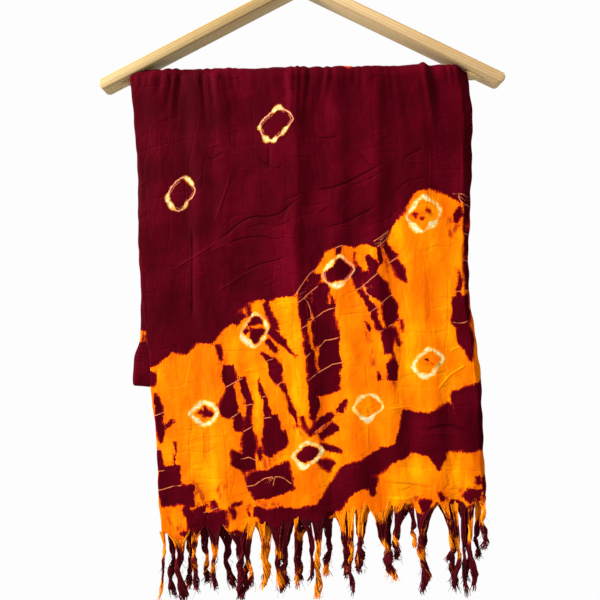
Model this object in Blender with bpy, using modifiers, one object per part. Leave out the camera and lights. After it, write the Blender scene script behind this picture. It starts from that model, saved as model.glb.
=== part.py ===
"""Dupatta stole folded over a wooden hanger.

The stole is a long cloth with knotted fringe on both ends. It is folded in half along its
length, with the fold at the left and the selvedges at the right, and once more across its
length. The four plies hang over the bar: both fringed ends are at the front, and the cross
fold is the bottom of the back drop. The stretch at the front, the turn over the bar and the
back drop are separate pieces, and so are the plies that lie under the outer pair.

Units in the tables are millimetres. The origin is the inside top of the hook, +Z is up and
the front of the stole faces -Y.
"""
import bmesh
import bpy
import math
from mathutils import Vector

MM = 0.001

# Hanger
HOOK_WIRE = 3.5           # diameter of the hook's wire
HOOK_BEND = 20.0          # radius of the bend, to the middle of the wire
HOOK_RETURN = 12.0        # radius of the curve that brings the wire back to the middle
HOOK_DROP = 62.0          # inside top of the hook down to the wood
ARM_REACH = 219.0         # middle of the hanger to the tip of an arm
ARM_SLOPE = 0.5           # fall of an arm for each unit outwards
ARM_THICK = 12.0          # arm seen from the front, square to its length
ARM_DEEP = 22.0           # arm from front to back
ARM_EDGE = 1.2            # rounding of the arm's long edges
APEX_FLAT = 5.0           # half the flat at the top where the hook goes in
APEX_RISE = 108.0         # middle of the bar up to the point where the arms' tops would meet
BAR_RADIUS = 4.8
GAP = 0.3                 # clearance between touching pieces

# Cloth
PLY = 1.0                 # thickness of one ply as a wall
PLY_PITCH = 1.4           # middle of one ply to the middle of the next
FOLD_REACH = PLY_PITCH / 2
BAR_SKIRT = 2.0           # how far the turn over the bar runs down each side
SETTLE = 4.0              # how far each drop closes in under the bar
SETTLE_DEPTH = 60.0
SELVEDGE_STEP = 3.5       # each selvedge stands this far inside the one below it
SELVEDGE_TAPER = 0.7      # share of that step lost by the hem
UNDER_INSET = 2.5         # the under plies' fold lies inside the outer one
BACK_DROP_LEFT = 331.0    # cross fold below the bar, at the left
BACK_DROP_RIGHT = 366.0

# Fringe
STRIP_TALL = 3.0
STRIP_GAP = 0.5
STRIP_THICK = 2.0
LOCK_WIDE = 2.4
LOCK_PITCH = 2.6
FRONT_LEAN = -1.8         # outer locks hang this far in front of their strip
UNDER_LEAN = 1.0          # under locks hang behind theirs

STEP = math.hypot(1.0, ARM_SLOPE)
ARM_TALL = ARM_THICK * STEP
BAR_Z = -(HOOK_DROP + APEX_RISE - ARM_SLOPE * APEX_FLAT)

# Middle of each ply, measured from the middle of the bar, from the bar outwards
PLY_INNERMOST = BAR_RADIUS + 0.5 + PLY / 2
PLY_RADII = [PLY_INNERMOST + PLY_PITCH * n for n in range(4)]
UNDER_PLIES = (PLY_RADII[0], PLY_RADII[1])
OUTER_PLIES = (PLY_RADII[3], PLY_RADII[2])

# Side edges of the drops: depth below the bar, left edge, right edge
FRONT_EDGES = [
    (0, -185, 179), (17, -184, 182), (54, -182, 185), (83, -180, 184), (111, -177, 183),
    (167, -180, 180), (212, -178, 178), (260, -175, 181), (301, -170, 187), (336, -169, 190),
    (391, -164, 191), (446, -163, 193), (490, -160, 194),
]
BACK_EDGES = [
    (0, -185, 179), (100, -183, 177), (180, -183, 175), (260, -182, 172), (284, -184, 171),
    (300, -189, 170), (315, -191, 169), (366, -192, 168),
]

# Hem at the front: share of the width from the left, drop below the bar
HEM = [
    (0.00, 490), (0.10, 486), (0.23, 483), (0.36, 479), (0.48, 475), (0.55, 470),
    (0.62, 463), (0.73, 461), (0.85, 463), (0.97, 461), (1.00, 458),
]

# Folds of the outer plies: share of the width, then how far the cloth stands out at the bar,
# half way down and at the hem
FRONT_FOLDS = [
    (0.000, 0.3, 0.2, 0.2), (0.030, 1.1, 1.4, 0.8), (0.060, 0.4, 0.4, 0.3),
    (0.090, 1.2, 2.0, 1.0), (0.130, 0.4, 0.3, 0.6), (0.160, 1.1, 1.0, 1.6),
    (0.184, 0.9, 2.6, 2.0), (0.210, 0.4, 0.8, 1.2), (0.245, 1.0, 0.3, 0.3),
    (0.275, 0.4, 1.2, 1.4), (0.310, 1.2, 2.2, 2.4), (0.350, 0.5, 1.4, 1.6),
    (0.390, 1.0, 0.6, 0.8), (0.425, 0.4, 1.6, 0.6), (0.460, 1.1, 2.8, 1.8),
    (0.495, 0.5, 1.6, 1.2), (0.525, 0.9, 0.1, 0.2), (0.560, 0.4, 1.8, 1.4),
    (0.600, 1.1, 2.6, 2.6), (0.645, 0.5, 1.6, 1.8), (0.690, 0.9, 1.0, 0.8),
    (0.735, 1.3, 2.4, 1.8), (0.772, 0.2, 0.2, 0.6), (0.815, 1.0, 2.2, 2.2),
    (0.872, 1.4, 2.6, 1.6), (0.920, 0.2, 0.3, 0.3), (0.960, 1.0, 1.8, 1.2),
    (1.000, 0.3, 0.4, 0.3),
]
BACK_FOLDS = [
    (0.00, 0.3, 0.3, 0.0), (0.07, 1.0, 1.8, 0.0), (0.14, 0.4, 0.4, 0.0), (0.22, 1.0, 2.2, 0.0),
    (0.30, 0.5, 0.6, 0.0), (0.38, 1.0, 1.6, 0.0), (0.45, 0.6, 2.6, 0.0), (0.53, 0.8, 0.3, 0.0),
    (0.60, 0.5, 2.0, 0.0), (0.68, 0.9, 1.0, 0.0), (0.76, 0.8, 2.4, 0.0), (0.84, 0.5, 0.4, 0.0),
    (0.92, 1.1, 1.8, 0.0), (1.00, 0.3, 0.3, 0.0),
]
FOLD_MIDDLE = 180.0       # depth of the table's middle column
UNDER_COLUMNS = [n / 8 for n in range(9)]
FRONT_ROWS = [0, 0.04, 0.10, 0.18, 0.28, 0.40, 0.52, 0.64, 0.76, 0.88, 1]
UNDER_ROWS = [0, 0.06, 0.14, 0.30, 0.48, 0.66, 0.84, 1]
BACK_ROWS = [0, 0.06, 0.14, 0.34, 0.56, 0.78, 1]
BAR_ANGLES = [30 * n for n in range(7)]
TURN_ANGLES = [45, 90, 135]

# Tassels: left and right end of the roots along the hem, middle of the neck and its depth
# below the hem, middle of the tail and its depth, and the number of locks
FRONT_TASSELS = [
    (-162, -156, -156, 14, -162, 74, 2), (-156, -128, -139, 23, -139, 76, 5),
    (-127, -114, -124, 19, -122, 69, 3), (-112, -94, -102, 26, -103, 68, 3),
    (-93, -67, -75, 28, -75, 82, 4), (-66, -57, -67, 42, -62, 70, 2),
    (-56, -47, -49, 25, -50, 74, 2), (-45, -27, -33, 40, -33, 77, 3),
    (-26, -16, -27, 42, -26, 68, 2), (-16, -11, -15, 24, -14, 76, 1),
    (-10, 1, 3, 33, 0, 69, 2), (2, 19, 10, 36, 8, 89, 3), (29, 40, 37, 31, 38, 62, 2),
    (41, 51, 45, 37, 44, 94, 2), (52, 63, 55, 33, 52, 74, 3), (64, 90, 79, 41, 91, 85, 4),
    (91, 103, 95, 32, 93, 55, 2), (104, 114, 113, 27, 114, 50, 2),
    (115, 141, 121, 30, 123, 97, 4), (142, 151, 153, 35, 150, 65, 2),
    (153, 162, 160, 38, 158, 98, 3), (163, 170, 166, 40, 168, 103, 2),
    (171, 183, 174, 25, 175, 97, 3), (184, 193, 189, 15, 186, 59, 3),
]
UNDER_TASSELS = [
    (-156, -140, -149, 23, -151, 75, 3), (-139, -123, -130, 23, -132, 69, 2),
    (-122, -106, -114, 27, -112, 64, 2), (-104, -80, -89, 25, -86, 70, 2),
    (-79, -59, -69, 35, -69, 75, 2), (-58, -37, -47, 38, -47, 68, 2),
    (-36, -13, -28, 44, -28, 75, 2), (-12, 8, -12, 36, -12, 73, 2),
    (9, 27, 21, 29, 19, 71, 2), (28, 47, 41, 39, 43, 78, 2), (48, 72, 56, 44, 56, 76, 2),
    (73, 95, 85, 47, 87, 83, 2), (96, 115, 95, 42, 96, 66, 2), (117, 139, 125, 43, 126, 87, 2),
    (140, 160, 158, 50, 155, 96, 2), (161, 180, 172, 45, 172, 90, 2),
    (181, 193, 183, 40, 183, 67, 2),
]


def reading(table, at, column):
    """Value of a table's column at a given first column, on straight lines between its rows."""
    if at <= table[0][0]:
        return table[0][column]
    for low, high in zip(table, table[1:]):
        if at <= high[0]:
            part = (at - low[0]) / (high[0] - low[0])
            return low[column] + part * (high[column] - low[column])
    return table[-1][column]


def eased(part):
    part = min(max(part, 0.0), 1.0)
    return part * part * (3 - 2 * part)


def settle(depth):
    """How far a drop has closed in at a depth below the bar."""
    return SETTLE * eased(depth / SETTLE_DEPTH)


def fold_height(folds, share, depth, drop):
    """How far the outer plies stand out at a share of the width and a depth below the bar."""
    bar, middle, end = (reading(folds, share, column) for column in (1, 2, 3))
    if depth < FOLD_MIDDLE:
        return bar + (middle - bar) * eased(depth / FOLD_MIDDLE)
    return middle + (end - middle) * eased((depth - FOLD_MIDDLE) / (drop - FOLD_MIDDLE))


def arm_underside(reach):
    """Height of an arm's underside above the middle of the bar, at a distance outwards."""
    return APEX_RISE - ARM_TALL - ARM_SLOPE * reach


def tuck(height):
    """Furthest the cloth reaches outwards at a height above the bar, just under the arms."""
    return (arm_underside(0) - 2 * GAP - height) / ARM_SLOPE


def material(name, colour, roughness, metallic=0.0):
    made = bpy.data.materials.new(name)
    made.use_nodes = True
    shader = made.node_tree.nodes["Principled BSDF"]
    shader.inputs["Base Color"].default_value = (*colour, 1.0)
    shader.inputs["Roughness"].default_value = roughness
    shader.inputs["Metallic"].default_value = metallic
    return made


def put(name, data, finish):
    """Place a mesh or curve in the part's collection under its node's name."""
    placed = bpy.data.objects.new(name, data)
    data.materials.append(finish)
    parts.objects.link(placed)
    return placed


def hanger_arm(name, side, finish):
    """One sloping arm with a rounded tip; side is 1 for right and -1 for left."""
    radius = ARM_THICK / 2
    tip = ARM_REACH - radius
    middle = APEX_RISE - ARM_TALL / 2 - ARM_SLOPE * tip
    lean = math.atan(ARM_SLOPE)
    outline = [(GAP / 2, arm_underside(GAP / 2)), (GAP / 2, APEX_RISE - ARM_SLOPE * APEX_FLAT),
               (APEX_FLAT, APEX_RISE - ARM_SLOPE * APEX_FLAT)]
    for step in range(7):
        turn = math.pi / 2 - lean - math.pi * step / 6
        outline.append((tip + radius * math.cos(turn), middle + radius * math.sin(turn)))
    bm = bmesh.new()
    corners = [bm.verts.new((side * x * MM, -ARM_DEEP / 2 * MM, (BAR_Z + z) * MM))
               for x, z in outline]
    front = bm.faces.new(corners)
    pulled = bmesh.ops.extrude_face_region(bm, geom=[front])["geom"]
    bmesh.ops.translate(bm, vec=(0, ARM_DEEP * MM, 0),
                        verts=[v for v in pulled if isinstance(v, bmesh.types.BMVert)])
    bmesh.ops.recalc_face_normals(bm, faces=bm.faces)
    mesh = bpy.data.meshes.new(name)
    bm.to_mesh(mesh)
    bm.free()
    arm = put(name, mesh, finish)
    rounding = arm.modifiers.new("long edges", "BEVEL")
    rounding.width = ARM_EDGE * MM
    rounding.segments = 2
    rounding.limit_method = "ANGLE"
    rounding.angle_limit = math.radians(50)
    return arm


def hanger_bar(name, finish):
    """Round bar between the arms, each end cut to lie against the arm's underside."""
    bm = bmesh.new()
    bmesh.ops.create_cone(bm, cap_ends=True, segments=16, radius1=BAR_RADIUS * MM,
                          radius2=BAR_RADIUS * MM, depth=1.0)
    for corner in bm.verts:
        end = math.copysign(1, corner.co.z)
        height = -corner.co.x
        reach = (arm_underside(0) * MM - height) / ARM_SLOPE - 2 * GAP * MM
        corner.co = Vector((end * reach, corner.co.y, BAR_Z * MM + height))
    mesh = bpy.data.meshes.new(name)
    bm.to_mesh(mesh)
    bm.free()
    mesh.shade_smooth()
    mesh.set_sharp_from_angle(angle=math.radians(40))
    return put(name, mesh, finish)


def hanger_hook(name, finish):
    """Wire hook: a bend over the rod, a return curve and a stem down to the wood."""
    bend_z = HOOK_WIRE / 2 - HOOK_BEND
    meet = math.acos(HOOK_RETURN / (HOOK_BEND + HOOK_RETURN))
    return_z = bend_z - (HOOK_BEND + HOOK_RETURN) * math.sin(meet)
    tip = math.radians(205)
    route = []
    for step in range(14):
        turn = tip - (tip + meet) * step / 13
        route.append((HOOK_BEND * math.cos(turn), bend_z + HOOK_BEND * math.sin(turn)))
    for step in range(1, 5):
        turn = math.pi - meet * (1 - step / 4)
        route.append((HOOK_RETURN * (1 + math.cos(turn)), return_z + HOOK_RETURN * math.sin(turn)))
    route.append((0.0, GAP - HOOK_DROP))
    curve = bpy.data.curves.new(name, "CURVE")
    curve.dimensions = "3D"
    curve.bevel_depth = HOOK_WIRE / 2 * MM
    curve.bevel_resolution = 2
    curve.use_fill_caps = True
    spline = curve.splines.new("POLY")
    spline.points.add(len(route) - 1)
    for point, (x, z) in zip(spline.points, route):
        point.co = (x * MM, 0.0, z * MM, 1.0)
    return put(name, curve, finish)


def front_place(row, share):
    """Spine, outward direction, depth and fold height on the front drop."""
    start = BAR_SKIRT + GAP
    drop = reading(HEM, share, 1)
    depth = start + row * (drop - start)
    return (settle(depth), -depth), (-1.0, 0.0), depth, fold_height(FRONT_FOLDS, share, depth, drop)


def over_place(turn, share):
    """The same over the bar; the turn is in degrees from front to back, -1 and 181 the skirts."""
    part = min(max(turn / 180, 0.0), 1.0)
    depth = BAR_SKIRT if turn < 0 or turn > 180 else 0.0
    front = reading(FRONT_FOLDS, share, 1)
    back = reading(BACK_FOLDS, share, 1)
    angle = math.pi * part
    outward = (-math.cos(angle), math.sin(angle))
    return (0.0, -depth), outward, depth, front + (back - front) * part


def back_place(row, share):
    start = BAR_SKIRT + GAP
    drop = BACK_DROP_LEFT + share * (BACK_DROP_RIGHT - BACK_DROP_LEFT)
    depth = start + row * (drop - start)
    return (-settle(depth), -depth), (1.0, 0.0), depth, fold_height(BACK_FOLDS, share, depth, drop)


def turn_place(turn, share):
    """The cross fold at the foot of the back drop, from its outer side round to its inner."""
    (y, z), _, depth, _ = back_place(1, share)
    angle = math.radians(turn)
    middle = (PLY_RADII[1] + PLY_RADII[2]) / 2
    return (y + middle, z), (math.cos(angle), -math.sin(angle)), depth, 0.0


def section(columns):
    """Share of the width and place between the two plies, from selvedge round to selvedge."""
    outer = [(share, 0.0) for share in reversed(columns)]
    fold = [(0.0, across) for across in (0.25, 0.5, 0.75)]
    inner = [(share, 1.0) for share in columns]
    return outer + fold + inner


def side_edges(edges, depth, inset, insets, ease=0.5):
    """Left and right end of a ply's middle at a depth; ease is 0 on the outer ply, 1 on the inner."""
    left = reading(edges, depth, 1) + inset + FOLD_REACH + PLY / 2
    taper = 1 - SELVEDGE_TAPER * depth / HEM[0][1]
    right = reading(edges, depth, 2)
    right -= (insets[0] + (insets[1] - insets[0]) * ease) * SELVEDGE_STEP * taper
    return left, right


def cloth(name, columns, stations, finish):
    """A folded pair of plies as one wall.

    Each station is a place function, its value, the distance of both plies from the spine,
    whether the folds stand out there, the side edges, and the selvedges' insets.
    """
    bm = bmesh.new()
    rows = []
    for place, value, plies, folded, edges, inset, insets in stations:
        row = []
        for share, across in section(columns):
            (y, z), (out_y, out_z), depth, height = place(value, share)
            ease = (1 - math.cos(math.pi * across)) / 2
            out = plies[0] + (plies[1] - plies[0]) * ease + (height if folded else 0.0)
            left, right = side_edges(edges, depth, inset, insets, ease)
            top = z + (PLY_RADII[3] + PLY / 2 + 1.5) * max(out_z, 0.0)
            left = max(left, -tuck(top) + inset + FOLD_REACH + PLY / 2)
            right = min(right, tuck(top))
            x = left + share * (right - left) - FOLD_REACH * math.sin(math.pi * across)
            row.append(bm.verts.new((x * MM, (y + out_y * out) * MM,
                                     (BAR_Z + z + out_z * out) * MM)))
        rows.append(row)
    for upper, lower in zip(rows, rows[1:]):
        for n in range(len(upper) - 1):
            bm.faces.new((upper[n], upper[n + 1], lower[n + 1], lower[n]))
    mesh = bpy.data.meshes.new(name)
    bm.to_mesh(mesh)
    bm.free()
    mesh.shade_smooth()
    wall = put(name, mesh, finish)
    thick = wall.modifiers.new("ply", "SOLIDIFY")
    thick.thickness = PLY * MM
    thick.offset = 0.0
    thick.use_even_offset = True
    return wall


def ring_shift(face, old, new, scale):
    """Move a lock's end face to a new middle and scale it."""
    for corner in face.verts:
        offset = corner.co - old
        corner.co = new + Vector((offset.x * scale, offset.y * scale, 0.0))


def fringe(name, tassels, columns, plies, folded, inset, insets, lean, finish):
    """A narrow strip along the hem with its tassels' locks drawn down from it."""
    hem = []
    for share in columns:
        drop = reading(HEM, share, 1)
        left, right = side_edges(FRONT_EDGES, drop, inset, insets)
        height = reading(FRONT_FOLDS, share, 3) if folded else 0.0
        out = (plies[0] + plies[1]) / 2 + height - SETTLE
        hem.append((left + share * (right - left), -out, BAR_Z - drop - STRIP_GAP))

    def hem_at(x):
        return reading(hem, x, 1), reading(hem, x, 2)

    slots = []
    for left, right, neck, neck_drop, tail, tail_drop, count in tassels:
        for n in range(count):
            root = left + (right - left) * (n + 0.5) / count
            spread = (n - (count - 1) / 2) * 0.75 * LOCK_PITCH
            depth = LOCK_PITCH / 2 * (-1) ** n if count > 1 else 0.0
            slots.append((root, neck + spread, depth, neck_drop, tail + spread, tail_drop))

    edges = [slots[0][0] - LOCK_WIDE / 2 - 1]
    for slot in slots:
        edges += [slot[0] - LOCK_WIDE / 2, slot[0] + LOCK_WIDE / 2]
    edges.append(edges[-1] + 1)

    bm = bmesh.new()
    y, z = hem_at(edges[0])
    sides = [(-STRIP_THICK / 2, 0.0), (-STRIP_THICK / 2, -STRIP_TALL),
             (STRIP_THICK / 2, -STRIP_TALL), (STRIP_THICK / 2, 0.0)]
    ring = [bm.verts.new((edges[0] * MM, (y + dy) * MM, (z + dz) * MM)) for dy, dz in sides]
    bm.faces.new(ring)
    roots = []
    for n, edge in enumerate(edges[1:]):
        y, z = hem_at(edge)
        following = [bm.verts.new((edge * MM, (y + dy) * MM, (z + dz) * MM)) for dy, dz in sides]
        for k in range(4):
            face = bm.faces.new((ring[k], ring[k - 1], following[k - 1], following[k]))
            if k == 2 and n % 2 == 1:
                roots.append(face)
        ring = following
    bm.faces.new(reversed(ring))
    bmesh.ops.recalc_face_normals(bm, faces=bm.faces)

    for face, (root, neck, depth, neck_drop, tail, tail_drop) in zip(roots, slots):
        hem_y, hem_z = hem_at(root)
        hang_y = hem_y + lean + depth
        middle = (neck + tail) / 2
        middle_drop = (neck_drop + tail_drop) / 2
        stops = [(neck, neck_drop, 0.9), (middle, middle_drop, 1.1), (tail, tail_drop, 0.6)]
        centre = face.calc_center_median()
        for x, drop, scale in stops:
            pulled = bmesh.ops.extrude_discrete_faces(bm, faces=[face])["faces"][0]
            target = Vector((x * MM, hang_y * MM, (hem_z - STRIP_TALL - drop) * MM))
            ring_shift(pulled, centre, target, scale)
            centre = target
            face = pulled
    mesh = bpy.data.meshes.new(name)
    bm.to_mesh(mesh)
    bm.free()
    return put(name, mesh, finish)


for old in list(bpy.data.objects):
    bpy.data.objects.remove(old)
parts = bpy.data.collections.new("dupatta_stole_on_hanger")
bpy.context.scene.collection.children.link(parts)

pine = material("pine", (0.82, 0.60, 0.32), 0.55)
steel = material("plated_steel", (0.70, 0.70, 0.68), 0.25, 1.0)
rayon = material("dyed_rayon", (0.13, 0.002, 0.008), 0.6)
rayon_under = material("dyed_rayon_under", (0.11, 0.002, 0.007), 0.6)
fringe_yarn = material("fringe_yarn", (0.24, 0.04, 0.006), 0.7)
fringe_yarn_under = material("fringe_yarn_under", (0.11, 0.01, 0.01), 0.7)

hanger_arm("hanger_arm_left", -1, pine)
hanger_arm("hanger_arm_right", 1, pine)
hanger_bar("hanger_bar", pine)
hanger_hook("hanger_hook", steel)

front_columns = [fold[0] for fold in FRONT_FOLDS]
back_columns = [fold[0] for fold in BACK_FOLDS]
OUTER_INSETS = (3, 2)
UNDER_INSETS = (0, 1)


def drop_stations(place, rows, plies, folded, edges, inset, insets):
    return [(place, row, plies, folded, edges, inset, insets) for row in rows]


cloth("stole_front", front_columns,
      drop_stations(front_place, FRONT_ROWS, OUTER_PLIES, True, FRONT_EDGES, 0.0, OUTER_INSETS),
      rayon)
cloth("stole_front_under", UNDER_COLUMNS,
      drop_stations(front_place, UNDER_ROWS, UNDER_PLIES, False, FRONT_EDGES, UNDER_INSET,
                    UNDER_INSETS), rayon_under)
over_turns = [-1] + BAR_ANGLES + [181]
cloth("stole_over_bar", front_columns,
      drop_stations(over_place, over_turns, OUTER_PLIES, True, FRONT_EDGES, 0.0, OUTER_INSETS),
      rayon)
cloth("stole_over_bar_under", UNDER_COLUMNS,
      drop_stations(over_place, over_turns, UNDER_PLIES, False, FRONT_EDGES, UNDER_INSET,
                    UNDER_INSETS), rayon_under)

turn_middle = (PLY_RADII[1] + PLY_RADII[2]) / 2
turn_plies = tuple(ply - turn_middle for ply in OUTER_PLIES)
back = drop_stations(back_place, BACK_ROWS, OUTER_PLIES, True, BACK_EDGES, 0.0, OUTER_INSETS)
back += drop_stations(turn_place, TURN_ANGLES, turn_plies, False, BACK_EDGES, UNDER_INSET / 2,
                      (1.5, 1.5))
back += drop_stations(back_place, reversed(BACK_ROWS), UNDER_PLIES, False, BACK_EDGES,
                      UNDER_INSET, UNDER_INSETS)
cloth("stole_back", back_columns, back, rayon)

fringe("fringe_front", FRONT_TASSELS, front_columns, OUTER_PLIES, True, 0.0, OUTER_INSETS,
       FRONT_LEAN, fringe_yarn)
fringe("fringe_under", UNDER_TASSELS, UNDER_COLUMNS, UNDER_PLIES, False, UNDER_INSET,
       UNDER_INSETS, UNDER_LEAN, fringe_yarn_under)
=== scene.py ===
"""Looks of a dupatta stole that hangs folded over a wooden hanger."""
import bmesh
import bpy
import math
import numpy as np
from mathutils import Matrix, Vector, noise


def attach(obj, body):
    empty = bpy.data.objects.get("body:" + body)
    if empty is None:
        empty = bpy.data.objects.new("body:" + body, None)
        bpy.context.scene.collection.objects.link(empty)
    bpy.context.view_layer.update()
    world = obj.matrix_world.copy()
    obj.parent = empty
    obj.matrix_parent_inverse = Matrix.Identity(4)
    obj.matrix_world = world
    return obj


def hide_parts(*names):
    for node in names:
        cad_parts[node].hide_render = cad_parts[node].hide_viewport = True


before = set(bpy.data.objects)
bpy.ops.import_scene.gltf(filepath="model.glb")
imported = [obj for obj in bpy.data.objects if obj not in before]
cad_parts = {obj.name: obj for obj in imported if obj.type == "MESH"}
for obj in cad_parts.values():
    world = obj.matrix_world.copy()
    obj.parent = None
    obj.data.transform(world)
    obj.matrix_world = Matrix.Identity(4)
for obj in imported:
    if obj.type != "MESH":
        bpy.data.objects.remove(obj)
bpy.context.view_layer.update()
bpy.ops.object.select_all(action="DESELECT")


# Camera. It stands level with the middle of the cloth, two thirds of a metre in front of it,
# and leans by less than a degree.
CAMERA_AT = (-0.00596, -0.660, -0.4096)
CAMERA_LEAN = 0.01606
CAMERA_LENS = 36.23

camera_data = bpy.data.cameras.new("camera")
camera_data.lens = CAMERA_LENS
camera_data.sensor_width = 36
camera_data.clip_start = 0.01
camera = bpy.data.objects.new("camera", camera_data)
camera.location = CAMERA_AT
camera.rotation_euler = (math.pi / 2, CAMERA_LEAN, 0)
bpy.context.scene.collection.objects.link(camera)
bpy.context.scene.camera = camera


# Arms of the hanger. Two lengths of pine, 12 by 22 mm, mitred together under the hook and
# rounded at their tips. They are planed, sanded and given a thin coat of clear varnish.
MM = 0.001                # sizes are in mm and the scene in metres
BAR_Z = -167.5            # middle of the bar, below the inside top of the hook
BAR_RADIUS = 4.8
APEX_RISE = 108.0         # middle of the bar up to where the arms' tops would meet
APEX_FLAT = 5.0           # half the flat at the top
ARM_SLOPE = 0.5           # fall for each mm outwards
ARM_REACH = 219.0         # middle to tip
ARM_THICK = 12.0
ARM_DEEP = 22.0
ARM_TIP = 5.8             # rounding of the tip
ARM_EDGE = 1.4            # rounding of the long edges
ARM_OVERRUN = 14.0        # past the middle, before the mitre is sawn
ARM_END = 14.0            # only the corners of the tip lie within this of the reach
MITRE_GAP = 0.3           # left between the two arms
PINE_LEFT = ("#AE9662", "#98783F", "#6E4E28")      # pale wood, warm wood and the dark line that
PINE_RIGHT = ("#B29768", "#A07C4A", "#805830")     # closes each year's growth
PINE_RING = 2.7           # mm between growth lines on the face
PINE_PATCH = 16.67        # mm across a paler or warmer patch
PINE_PORE = 0.625         # mm across a pore
PINE_DRAWN = (0.05, 0.55, 1)      # patterns are drawn out along the wood, and a little through it
WAVE_STEP = 0.314         # m between the lines of a wave pattern of scale 1
PINE_PAINTED_SHADE = "#5E3C20"     # painted shade along the lower edges
ARM_LEAN = math.atan(ARM_SLOPE)
ARM_TALL = ARM_THICK * math.hypot(1, ARM_SLOPE)
UNDERSIDE = APEX_RISE - ARM_TALL  # middle of the bar up to where the arms' undersides would meet
ARM_MIDDLE = (BAR_Z + APEX_RISE - ARM_TALL / 2) * math.cos(ARM_LEAN)
SHADE_ANGLE = 38          # degrees between faces that still shade as one curve


def linear(hex_colour):
    """An sRGB hex colour as linear RGBA."""
    parts = [int(hex_colour[n:n + 2], 16) / 255 for n in (1, 3, 5)]
    return (*(c / 12.92 if c <= 0.04045 else ((c + 0.055) / 1.055) ** 2.4 for c in parts), 1)


def new_finish(name):
    """A new material, its node tree, which is then the tree in hand, and its shader."""
    made = bpy.data.materials.new(name)
    made.use_nodes = True
    return made, made.node_tree, made.node_tree.nodes["Principled BSDF"]


def feed(made, feeds):
    """Give a node's inputs their values or links, in order or by name."""
    for socket, value in (enumerate(feeds) if isinstance(feeds, tuple) else feeds.items()):
        if isinstance(value, bpy.types.NodeSocket):
            tree.links.new(value, made.inputs[socket])
        else:
            made.inputs[socket].default_value = value


def node(kind, feeds=(), out=0, stops=(), **settings):
    """Add a node to the tree in hand, with its inputs and properties, and give one output. The
    stops are those of a colour ramp, as (place, hex colour)."""
    made = tree.nodes.new("ShaderNode" + kind)
    for key, value in settings.items():
        setattr(made, key, value)
    if stops:
        bands = made.color_ramp.elements
        for _ in stops[2:]:
            bands.new(0.5)
        for band, (place, colour) in zip(bands, stops):
            band.position, band.color = place, linear(colour)
    feed(made, feeds)
    return made.outputs[out]


# Pine under clear varnish: pale straw yellow with long darker lines along its length, a soft
# gloss, and painted shade along its lower edges.
varnished = {}
for name, tones, lean, low_edge in (
        ("pine_arm_left", PINE_LEFT, -ARM_LEAN, ARM_MIDDLE - ARM_THICK / 2 + ARM_EDGE / 2),
        ("pine_arm_right", PINE_RIGHT, ARM_LEAN, ARM_MIDDLE - ARM_THICK / 2 + ARM_EDGE / 2),
        ("pine_bar", PINE_RIGHT, 0.0, BAR_Z - BAR_RADIUS)):
    varnished[name], tree, shader = new_finish(name + "_varnished")
    where = node("TexCoord", out="Object")
    level = node("Mapping", {"Vector": where, "Rotation": (0, -lean, 0)})
    grain = node("Mapping", {"Vector": level, "Scale": PINE_DRAWN})
    rings = node("TexWave", {"Vector": grain, "Scale": WAVE_STEP / (PINE_RING * MM),
                             "Distortion": 4.5, "Detail": 2, "Detail Scale": 0.6},
                 "Fac", bands_direction="Z")
    cloud = node("TexNoise", {"Vector": grain, "Scale": 1 / (PINE_PATCH * MM), "Detail": 3})
    pore = node("TexNoise", {"Vector": grain, "Scale": 1 / (PINE_PORE * MM), "Detail": 2})
    wood = node("ValToRGB", (cloud,), stops=[(0.36, tones[0]), (0.66, tones[1])])
    late = node("Math", (rings, 4.0), operation="POWER")
    late = node("Math", (late, 0.42), operation="MULTIPLY")
    wood = node("Mix", {0: late, 6: wood, 7: linear(tones[2])}, 2, data_type="RGBA")
    dark = node("MapRange", (pore, 0.3, 0.7, 0.86, 1.05))
    wood = node("Mix", {0: 1.0, 6: wood, 7: dark}, 2, data_type="RGBA", blend_type="MULTIPLY")
    # Painted shade: a dark line along the lower edge and a softer shade fading over 7 mm from it,
    # on the front and back faces of the arms only.
    _, depth, height = node("SeparateXYZ", (level,)).node.outputs
    near = node("Math", (height, low_edge * MM), operation="SUBTRACT")
    near, face = (node("Math", (value,), operation="ABSOLUTE") for value in (near, depth))
    shade = node("Math", (node("MapRange", (near, 0.0, 1.3 * MM, 0.65, 0.0)),
                          node("MapRange", (near, 0.0, 7 * MM, 0.3, 0.0))), operation="MAXIMUM")
    face = node("MapRange", (face, 9.4 * MM, 10.2 * MM))
    edge = node("Math", (shade, face), operation="MULTIPLY")
    wood = node("Mix", {0: edge, 6: wood, 7: linear(PINE_PAINTED_SHADE)}, 2, data_type="RGBA")
    bump = node("Bump", {"Height": pore, "Strength": 0.25, "Distance": 0.0002})
    feed(shader, {"Base Color": wood, "IOR": 1.5, "Normal": bump,
                  "Roughness": node("MapRange", (pore, 0, 1, 0.34, 0.5))})


def take(piece):
    """Leave a piece the only one selected."""
    bpy.ops.object.select_all(action="DESELECT")
    piece.select_set(True)
    bpy.context.view_layer.objects.active = piece


def begin(name):
    """Name the shape just added, bring its move and turn into its mesh, and start to edit it."""
    piece = bpy.context.object
    piece.name = name
    take(piece)
    bpy.ops.object.transform_apply(location=True, rotation=True, scale=True)
    bpy.ops.object.mode_set(mode="EDIT")
    bpy.ops.mesh.select_all(action="SELECT")
    return piece


def close(angle=SHADE_ANGLE):
    """End the editing, with edges flatter than an angle shaded as one curve."""
    bpy.ops.object.mode_set(mode="OBJECT")
    bpy.ops.object.shade_smooth_by_angle(angle=math.radians(angle))


def saw(place, facing, **cleared):
    """Cut the shape in hand along a plane."""
    bpy.ops.mesh.select_all(action="SELECT")
    bpy.ops.mesh.bisect(plane_co=place, plane_no=facing, use_fill=True, **cleared)


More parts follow.
